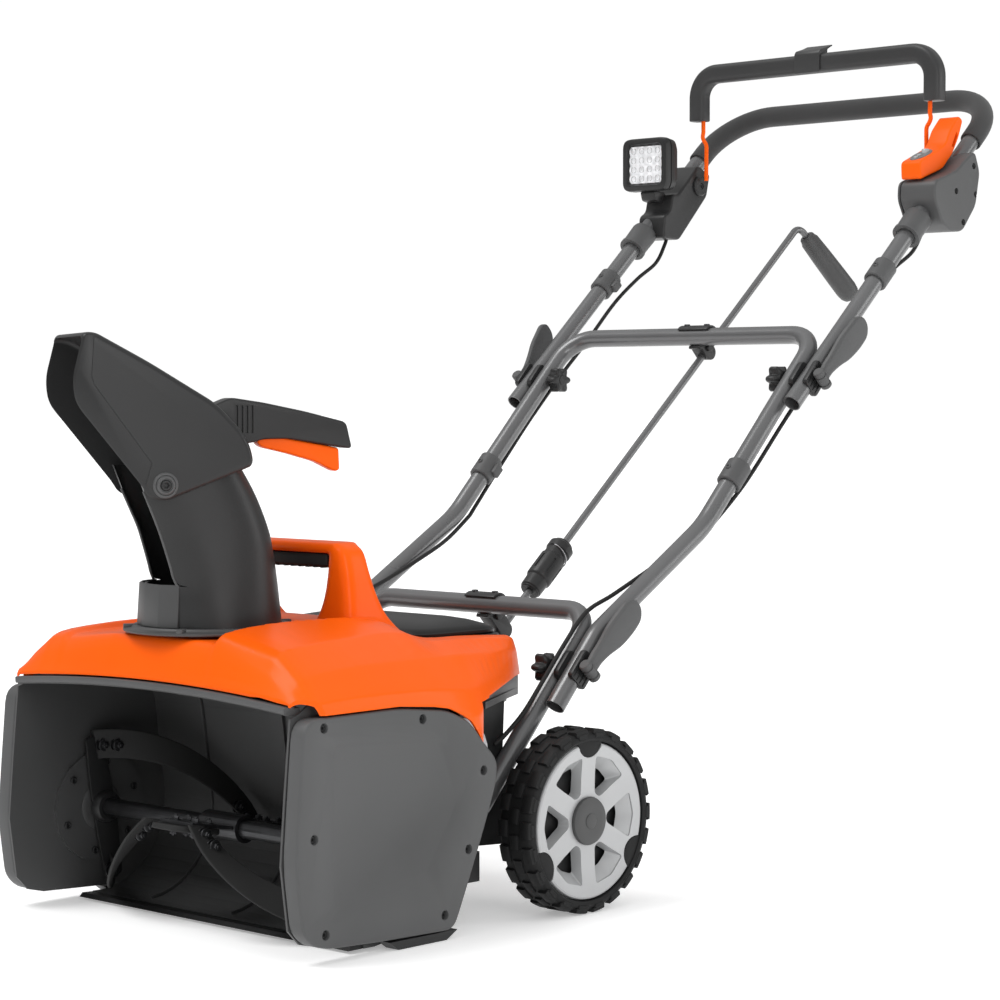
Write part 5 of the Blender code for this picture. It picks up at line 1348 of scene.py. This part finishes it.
# Each cable's points, with x for the right-hand one.
CABLE = [
    (0.239, 1.22, 0.878),
    (0.238, 1.212, 0.862), (0.237, 1.19, 0.834), (0.236, 1.145, 0.808),
    (0.235, 1.091, 0.77), (0.234, 1.03, 0.714), (0.233, 0.97, 0.662),
    (0.232, 0.9, 0.596), (0.229, 0.82, 0.515), (0.22, 0.76, 0.46),
    (0.208, 0.7, 0.428), (0.2055, 0.64, 0.402), (0.2055, 0.58, 0.378),
    (0.205, 0.53, 0.359), (0.206, 0.49, 0.324), (0.206, 0.45, 0.281),
    (0.204, 0.415, 0.242), (0.196, 0.39, 0.216), (0.19, 0.378, 0.205),
]
CABLE_SPLIT, CABLE_RADIUS = 9, 0.0028


def make_cables():
    """Each cable in two lengths that meet between the pivots."""
    for side, word in SIDES:
        points = [at(side * x, y, z) for x, y, z in CABLE]
        upper = pipe("cable_%s_upper" % word, spline(points[:CABLE_SPLIT + 1], 8), CABLE_RADIUS,
                     "rubber", 14)
        lower = pipe("cable_%s_lower" % word, spline(points[CABLE_SPLIT:], 8), CABLE_RADIUS,
                     "rubber", 14)
        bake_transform(upper)
        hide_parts("cable_" + word)
        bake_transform(lower)


# ---------------------------------------------------------------- crank

def on_rod(y):
    """A point on the axis of the crank's rod."""
    return at(ROD_X, y, rod_z(y))


def make_guides():
    """A saddle on top of each crossbar and, bolted to it from below, an eye for the rod."""
    for word, bar, body in (("lower", LOW_BAR, "chassis"), ("upper", MID_BAR, "mid_section")):
        length = math.hypot(1, ROD_SLOPE)
        down = Vector((ROD_SLOPE / length, -1 / length))
        eye = bar + down * ((rod_z(bar.x) - bar.y) / -length)
        heading = math.degrees(math.atan2(down.y, down.x))
        outline = arc(bar, 0.0129, heading + 62, heading - 62, 14)
        outline += arc(bar, 0.0178, heading - 62, heading - 40, 4)
        outline += arc(eye, 0.0108, heading - 75, heading + 75, 14)
        outline += arc(bar, 0.0178, heading + 40, heading + 62, 4)
        plate = prism("guide_%s_eye" % word, outline, 0.0015, 0.0225, "X", "black")
        start, end = (on_rod(y) for y in (eye.x - 0.08, eye.x + 0.08))
        cut(plate, lathe("bore", [(0, 0.0058), ((end - start).length, 0.0058)], start,
                         end - start, "black", 24, closed=False))
        bevel(plate, 0.0014, 2, 50)
        place(plate, body, "rod_guide_" + word)
        saddle_line = arc(bar, 0.0129, 138, 48, 14) + arc(bar, 0.0162, 48, 138, 14)
        saddle_top = prism("guide_%s_saddle" % word, saddle_line, -0.015, 0.039, "X", "black")
        bevel(saddle_top, 0.001, 2, 50)
        place(saddle_top, body)
        for x in (-0.006, 0.03):
            screw = disc("guide_%s_screw" % word, at(x, bar.x, bar.y + 0.0156), (0, 0, 1),
                         0.0042, 0.0024, "dark_steel", 18, 0.001)
            place(screw, body)
        wing = disc("guide_%s_nut" % word, at(0.022, *(bar + down * 0.02)), (1, 0, 0),
                    0.0062, 0.005, "black", 6, 0.0012)
        place(wing, body)


def make_sleeve(base, along, length):
    """Fluted joint sleeve between the two rods, with its end collars."""
    profile = [(0.0, 0.004), (0.0, 0.012), (0.003, 0.015), (0.02, 0.0155),
               (0.022, 0.0172), (0.024, 0.0178), (length - 0.026, 0.0178),
               (length - 0.024, 0.016), (length - 0.013, 0.016), (length - 0.012, 0.0178),
               (length - 0.002, 0.0178), (length, 0.016), (length, 0.0052)]
    sleeve = lathe("crank_sleeve", profile, base, along, "chute", 40)
    for i in range(6):
        turn = Matrix.Translation(base) @ basis(along) @ Matrix.Rotation(math.tau * i / 6, 4, "X")
        outline = [(0.03, -0.0016), (0.03, 0.0016), (length - 0.032, 0.0016),
                   (length - 0.032, -0.0016)]
        rings = [[turn @ Vector((a, b, r)) for a, b in outline] for r in (0.0166, 0.02)]
        cut(sleeve, solid("groove", *skin(rings), "black"))
    smooth(sleeve, 35)
    place(sleeve, "crank_body")
    for name, low, high, radius in (("crank_collar_low", -0.001, 0.008, 0.0135),
                                    ("crank_collar_top", length - 0.01, length + 0.004,
                                     0.014)):
        collar = lathe(name, [(low, 0.0053), (low, radius - 0.0012), (low + 0.0012, radius),
                              (high - 0.0012, radius), (high, radius - 0.0012),
                              (high, 0.0053)], base, along, "black", 32)
        place(collar, "crank_body")


def make_wire_clip(base, along, length):
    """Thin wire spring round the upper end of the joint sleeve."""
    path = []
    for i in range(25):
        angle = math.pi * (0.15 + 1.7 * i / 24)
        side = basis(along).to_3x3() @ Vector((0, math.cos(angle), math.sin(angle)))
        reach = 0.0135 if 3 < i < 21 else 0.015
        path.append(base + along * (length - 0.018 + 0.01 * math.cos(angle * 0.5))
                    + side * (reach + 0.0045 * math.sin(math.pi * i / 24)))
    place(pipe("crank_pin_clip", path, 0.0009, "steel", 8), "crank_body")


def make_crank():
    along = Vector((0, 1, ROD_SLOPE)).normalized()
    hang = Vector((0, along.z, -along.y))
    swing = math.radians(13.4)
    out = hang * math.cos(swing) + Vector((1, 0, 0)) * math.sin(swing)
    foot, joint, upper, top = (on_rod(y) for y in (ROD_FOOT.x, 0.634, 0.699, 1.222))
    lower = pipe("rod_lower_bar", [foot, foot + (joint - foot) * 0.5, joint - along * 0.0006],
                 0.005, "paint", 20)
    place(lower, "lower_rod_body", "crank_rod_lower")
    path = rounded([upper - along * 0.004, top, top + out * 0.14], [0.014], 10)
    bar = pipe("crank_bar", path, 0.005, "paint", 20)
    place(bar, "crank_body", "crank_rod_upper")
    length = (upper - joint).length
    make_sleeve(joint, along, length)
    make_wire_clip(joint, along, length)
    grip = lathe("crank_grip_handle",
                 [(0.0, 0.0058), (0.0, 0.0095), (0.0015, 0.0112), (0.006, 0.0122),
                  (0.01, 0.014), (0.04, 0.0152), (0.08, 0.016), (0.105, 0.0162),
                  (0.114, 0.015), (0.12, 0.0118), (0.122, 0.008), (0.122, 0.0058)],
                 top + out * 0.02, out, "hub", 40)
    place(grip, "crank_grip_body", "crank_grip")


# ---------------------------------------------------------------- bail, controls and lamp

def make_bail():
    y, half, top = 1.272, 0.2175, 1.126
    path = rounded([at(half, y, 1.055), at(half, y, top), at(-half, y, top),
                    at(-half, y, 1.055)], [0.036, 0.036], 14)
    section = corners(rect(-0.0142, -0.0128, 0.0142, 0.0128), 0.0095, 5)
    bar = sweep("bail_bar", path, section, "grey_bar", up=(0, 1, 0))
    bevel(bar, 0.0016, 2, 60)
    place(bar, "bail_body", "bail")
    wires = []
    for side, _ in SIDES:
        x = side * 0.21
        route = spline([at(x, y, 1.065), at(x, y, 1.046), at(x, y, 1.038),
                        at(x + side * 0.0012, y, 1.031), at(x - side * 0.001, y, 1.025),
                        at(x - side * 0.0056, y, 1.018), at(x - side * 0.0062, y, 1.008),
                        at(x - side * 0.006, y, 0.99), at(x - side * 0.006, y, 0.963)], 6)
        wires.append(pipe("wire", route, 0.0032, "orange_matt", 14))
    wires = gather("bail_wires", wires)
    place(wires, "bail_body")
    hook = [(y - 0.0125, 1.129), (y - 0.0138, 1.112), (y - 0.0152, 1.112),
            (y - 0.0152, 1.14), (y - 0.012, 1.145), (y + 0.005, 1.15),
            (y + 0.0175, 1.1548), (y + 0.018, 1.153), (y + 0.006, 1.147),
            (y + 0.005, 1.138)]
    clip = prism("bail_clip", corners(hook, 0.0012, 2), -0.0235, 0.0225, "X", "grey_bar")
    bevel(clip, 0.0006, 2, 50)
    place(clip, "bail_body")


BOX = [(1.178, 0.908), (1.198, 0.874), (1.225, 0.862), (1.25, 0.864), (1.283, 0.902),
       (1.293, 0.95), (1.28, 0.98), (1.2615, 0.97), (1.235, 0.95), (1.18, 0.932)]
BOX_SCREWS = [(1.276, 0.958), (1.232, 0.92), (1.281, 0.918), (1.25, 0.877)]
KEY_AXIS = (0.241, 1.216)     # x and y of the power button


def make_controls():
    outline = corners(BOX, 0.009, 5)
    body = prism("control_box", outline, 0.223, 0.2828, "X", "grey")
    bevel(body, 0.0035, 4, 60)
    for y, z in BOX_SCREWS:
        cut(body, lathe("hole", [(0.0, 0.0046), (0.006, 0.0046)], at(0.279, y, z), (1, 0, 0),
                        "grey", 18, closed=False))
    smooth(body, 35)
    place(body, "upper_section", "control_housing")
    screws = [screw_head("screw", at(0.2785, y, z), (1, 0, 0), 0.004, 0.002)
              for y, z in BOX_SCREWS]
    place(gather("control_screws", screws), "upper_section")
    plate = prism("control_inner_half", outline, 0.219, 0.2224, "X", "grey")
    bevel(plate, 0.0012, 2, 60)
    place(plate, "upper_section", "control_side_plate")


def make_collars():
    """Ridged collars with clamp screws, on the tubes below the switch box and the lamp."""
    direction = Vector((0, *(TOP_BAR - MID_PIVOT)))
    y = 1.168
    for side, name in ((1, "control_collar"), (-1, "lamp_collar")):
        centre = at(side * UPPER_X, y, upper_z(y))
        collar = lathe(name, [(-0.02, 0.0129), (-0.02, 0.017), (-0.018, 0.019),
                              (0.016, 0.02), (0.02, 0.019), (0.02, 0.0129)],
                       centre, direction, "grey", 40)
        ridge = lathe("ridge", [(-0.0215, 0.015), (-0.0215, 0.0205), (-0.0165, 0.0205),
                                (-0.0165, 0.015)], centre, direction, "grey", 40)
        merge(collar, ridge)
        merge(collar, screw_head("screw", at(side * UPPER_X, y - 0.008, upper_z(y) - 0.0185),
                                 (0, -0.6, -0.8), 0.0042, 0.004))
        place(collar, "upper_section")


def key_bore(radius, mat):
    """Upright cutter round the power button's axis."""
    return lathe("bore", [(0, radius), (0.09, radius)], at(*KEY_AXIS, 0.93), (0, 0, 1), mat, 24,
                 closed=False)


def make_key_pad():
    """Sloping grey pad with two round lights, in front of the power button."""
    tilt = math.atan2(0.022, 0.054)
    middle = (1.205, 0.9605 + 0.027 * math.tan(tilt))
    turn = Matrix.Translation(at(0.2411, *middle)) @ Matrix.Rotation(tilt, 4, "X")
    angles = [math.tau * i / 48 for i in range(48)]
    rings = [[turn @ Vector(((0.0128 + grow) * math.cos(angle), (0.0225 + grow) * math.sin(angle),
                             z)) for angle in angles]
             for z, grow in ((-0.002, 0.0), (0.0006, 0.0), (0.0012, -0.0008))]
    pad = solid("key_pad", *skin(rings), "grey_light", 40)
    cut(pad, key_bore(0.0064, "grey_light"))
    smooth(pad, 35)
    place(pad, "upper_section")
    lights = [lathe("key", [(0.0, 0.0), (0.0, 0.0034), (0.0016, 0.0034), (0.0022, 0.0026),
                            (0.0022, 0.0)], turn @ Vector((0, v, 0.0008)),
                    turn.to_3x3() @ Vector((0, 0, 1)), "silver", 24, closed=False)
              for v in (-0.014, -0.005)]
    place(gather("indicator_lights", lights), "upper_section")


def make_key():
    """Orange bezel over the switch box, with its pad and the round power button."""
    head = corners([(1.1795, 0.9345), (1.235, 0.953), (1.26, 0.976), (1.275, 1.0),
                    (1.2855, 1.0255), (1.2745, 1.0315), (1.253, 1.01), (1.242, 0.99),
                    (1.232, 0.9825), (1.178, 0.9605)], 0.006, 5)
    bezel = prism("key_bezel", head, 0.2242, 0.258, "X", "orange_matt")
    bevel(bezel, 0.0075, 6, 60)
    slot = corners([(1.256, 0.986), (1.262, 0.9845), (1.272, 1.004), (1.268, 1.008)],
                   0.002, 3)
    cut(bezel, prism("slot", slot, 0.21, 0.27))
    cut(bezel, key_bore(0.0066, "orange_matt"))
    smooth(bezel, 35)
    place(bezel, "upper_section", "control_bezel")
    make_key_pad()
    button = lathe("power_key", [(0.0, 0.003), (0.0, 0.0058), (0.015, 0.0058),
                                 (0.0164, 0.0048), (0.0166, 0.003)], at(*KEY_AXIS, 0.9645),
                   (0, 0, 1), "silver", 28)
    merge(button, disc("centre", at(*KEY_AXIS, 0.9792), (0, 0, 1), 0.0032, 0.0018, "black", 24,
                       0.0006))
    place(button, "button_body", "power_button")


def make_left_housing():
    outline = corners([(1.186, 0.872), (1.225, 0.87), (1.292, 0.94), (1.3, 0.975),
                       (1.27, 0.988), (1.24, 0.958), (1.222, 0.9405), (1.2085, 0.9405),
                       (1.202, 0.914), (1.188, 0.906)], 0.006, 4)
    body = prism("bail_clamp_left", outline, -0.27, -0.218, "X", "chute")
    bevel(body, 0.004, 4, 60)
    place(body, "upper_section", "bail_housing_left")
    boss = lathe("bail_boss_left", [(0.0, 0.005), (0.0, 0.015), (0.004, 0.015),
                                    (0.006, 0.0132), (0.006, 0.005)], at(-0.219, 1.272, 0.955),
                 (1, 0, 0), "chute", 40)
    place(boss, "upper_section")
    screw = screw_head("bail_boss_screw", at(-0.216, 1.272, 0.955), (1, 0, 0), 0.0046, 0.0022)
    place(screw, "upper_section")


LAMP = (-0.25, 1.196, 0.985)                           # middle of the case
LAMP_WIDTH, LAMP_DEPTH, LAMP_HEIGHT = 0.0885, 0.0398, 0.0815
LAMP_FRONT = LAMP[1] - LAMP_DEPTH / 2
LAMP_EDGE = 0.0125                                      # from the case's edge to the lens
LENS_HALF = (LAMP_WIDTH / 2 - LAMP_EDGE, LAMP_HEIGHT / 2 - LAMP_EDGE)


def lamp_outline(grow, radius, steps=6):
    """(x, z) outline round the lamp's middle, grown from the case's size."""
    x, _, z = LAMP
    half_x, half_z = LAMP_WIDTH / 2 + grow, LAMP_HEIGHT / 2 + grow
    return corners(rect(x - half_x, z - half_z, x + half_x, z + half_z), radius, steps)


def lamp_rings(rows):
    """Rings for skin() from (distance behind the front, outline) rows."""
    return [[at(a, LAMP_FRONT + back, b) for a, b in outline] for back, outline in rows]


def make_lamp_case():
    """Black case with two shallow grooves, a flared mouth and cooling fins on top."""
    x, _, z = LAMP
    rows = ((0.0002, -0.004, 0.012), (0.0015, -0.0012, 0.014), (0.006, 0.0, 0.016),
            (0.012, 0.0, 0.016), (0.0125, -0.0012, 0.016), (0.014, -0.0012, 0.016),
            (0.0145, 0.0, 0.016), (0.028, -0.002, 0.015), (0.036, -0.007, 0.014),
            (0.0396, -0.013, 0.012))
    rings = lamp_rings([(back, lamp_outline(grow, radius)) for back, grow, radius in rows])
    case = solid("lamp_case", *skin(rings), "black", 35)
    near, far = lamp_outline(0.004 - LAMP_EDGE, 0.01, 4), lamp_outline(-LAMP_EDGE, 0.006, 4)
    mouth = lamp_rings([(-0.01, near), (0.0, near), (0.006, far), (0.012, far)])
    cut(case, solid("mouth", *skin(mouth), "black"))
    smooth(case, 35)
    for i in range(4):
        y, top = LAMP_FRONT + 0.019 + 0.0045 * i, z + LAMP_HEIGHT / 2
        merge(case, box("fin", (x - 0.03, y, top - 0.008),
                        (x + 0.03, y + 0.0018, top - 0.0008 - 0.0008 * i), "black", 0.0005, 2))
    place(case, "lamp_body", "lamp_housing")


def make_lens():
    """A pebbled lens over a grid of reflector cups."""
    x, _, z = LAMP
    half_x, half_z = LENS_HALF
    steps = 44
    verts, faces = [], []
    for i in range(steps + 1):
        for j in range(steps + 1):
            a, b = i / steps - 0.5, j / steps - 0.5
            cups = math.cos(math.tau * a * 4) * math.cos(math.tau * b * 4)
            ripple = math.sin(97 * a + 31 * b) * math.cos(83 * b - 41 * a)
            verts.append(at(x + 2 * half_x * a, LAMP_FRONT + 0.0058 + 0.0011 * cups
                            + 0.0005 * ripple, z + 2 * half_z * b))
    for i in range(steps):
        for j in range(steps):
            k = i * (steps + 1) + j
            faces.append((k, k + 1, k + steps + 2, k + steps + 1))
    mesh = bpy.data.meshes.new("lamp_glass")
    mesh.from_pydata(verts, [], faces)
    glass = link("lamp_glass", mesh, "lens")
    modify(glass, "SOLIDIFY", thickness=0.002, offset=0.0)
    smooth(glass, 60)
    place(glass, "lamp_body", "lamp_lens")
    profile = [(0.0, 0.0042), (0.0004, 0.0052), (0.0012, 0.0048), (0.0012, 0.004)]
    rims = [lathe("cup", profile, at(x + half_x * (i - 1.5) * 0.5, LAMP_FRONT + 0.0042,
                                     z + half_z * (j - 1.5) * 0.5), (0, 1, 0), "silver", 20)
            for i in range(4) for j in range(4)]
    place(gather("lamp_reflector_rings", rims), "lamp_body")


def make_yoke():
    """Yoke between the lamp and the handle clamp, and a small pip on top of the case."""
    x, y, z = LAMP
    outline = corners([(y - 0.012, z - 0.0405), (y + 0.014, z - 0.0405), (y + 0.02, z - 0.053),
                       (y + 0.008, z - 0.058), (y - 0.008, z - 0.055)], 0.004, 3)
    fork = prism("lamp_yoke", outline, x - 0.014, x + 0.014, "X", "chute")
    bevel(fork, 0.0018, 2, 50)
    place(fork, "lamp_body")
    place(screw_head("lamp_yoke_screw", at(x - 0.0138, y + 0.006, z - 0.0475), (-1, 0, 0),
                     0.0044, 0.0016), "lamp_body")
    pip = disc("lamp_top_pip", at(x + 0.012, LAMP_FRONT + 0.012, z + LAMP_HEIGHT / 2 - 0.001),
               (0, 0, 1), 0.004, 0.0012, "black", 20, 0.0005)
    place(pip, "lamp_body")


def make_lid():
    """Domed battery lid with a rim and a finger catch."""
    def ring(shrink, z, radius=0.03):
        outline = corners(rect(shrink - 0.1345, 0.3025 + shrink, 0.1345 - shrink,
                               0.4515 - shrink), radius, 8)
        return [at(x, y, z) for x, y in outline]
    rings = [ring(0.003, 0.3346), ring(0.0005, 0.3356), ring(0.0, 0.3372), ring(0.0, 0.3396),
             ring(0.0022, 0.3412), ring(0.0026, 0.342), ring(0.01, 0.3462),
             ring(0.023, 0.351), ring(0.039, 0.3544), ring(0.055, 0.356, 0.018)]
    lid = solid("battery_lid_dome", *skin(rings), "lid", 40)
    place(lid, "lid_body", "battery_lid")
    collar = corners(rect(-0.14, 0.2975, 0.14, 0.4545), 0.032, 8)
    rings = [[at(x, y, z) for x, y in outline] for outline, z in
             ((collar, 0.33), (collar, 0.3336), (inset(collar, 0.001), 0.3342),
              (inset(collar, 0.01), 0.3342), (inset(collar, 0.01), 0.33))]
    well = solid("battery_well_rim", *skin(rings, closed=True), "black", 40)
    place(well, "chassis")
    catch = box("battery_lid_catch", (-0.02, 0.45, 0.3362), (0.02, 0.4555, 0.3412), "black",
                0.0015, 3)
    place(catch, "lid_body")


make_stage()
make_materials()
dress_nodes()
make_hood()
make_grip()
make_covers()
make_lip()
make_band()
make_chute()
make_deflector()
make_handle()
make_wheels()
for end_side, end_word in SIDES:
    make_flights(end_side, end_word)
    make_arm(end_side, end_word)
make_paddles()
make_housing_details()
make_tubes()
make_clamps()
make_clips()
make_cables()
make_guides()
make_crank()
make_bail()
make_controls()
make_collars()
make_key()
make_left_housing()
make_lamp_case()
make_lens()
make_yoke()
make_lid()
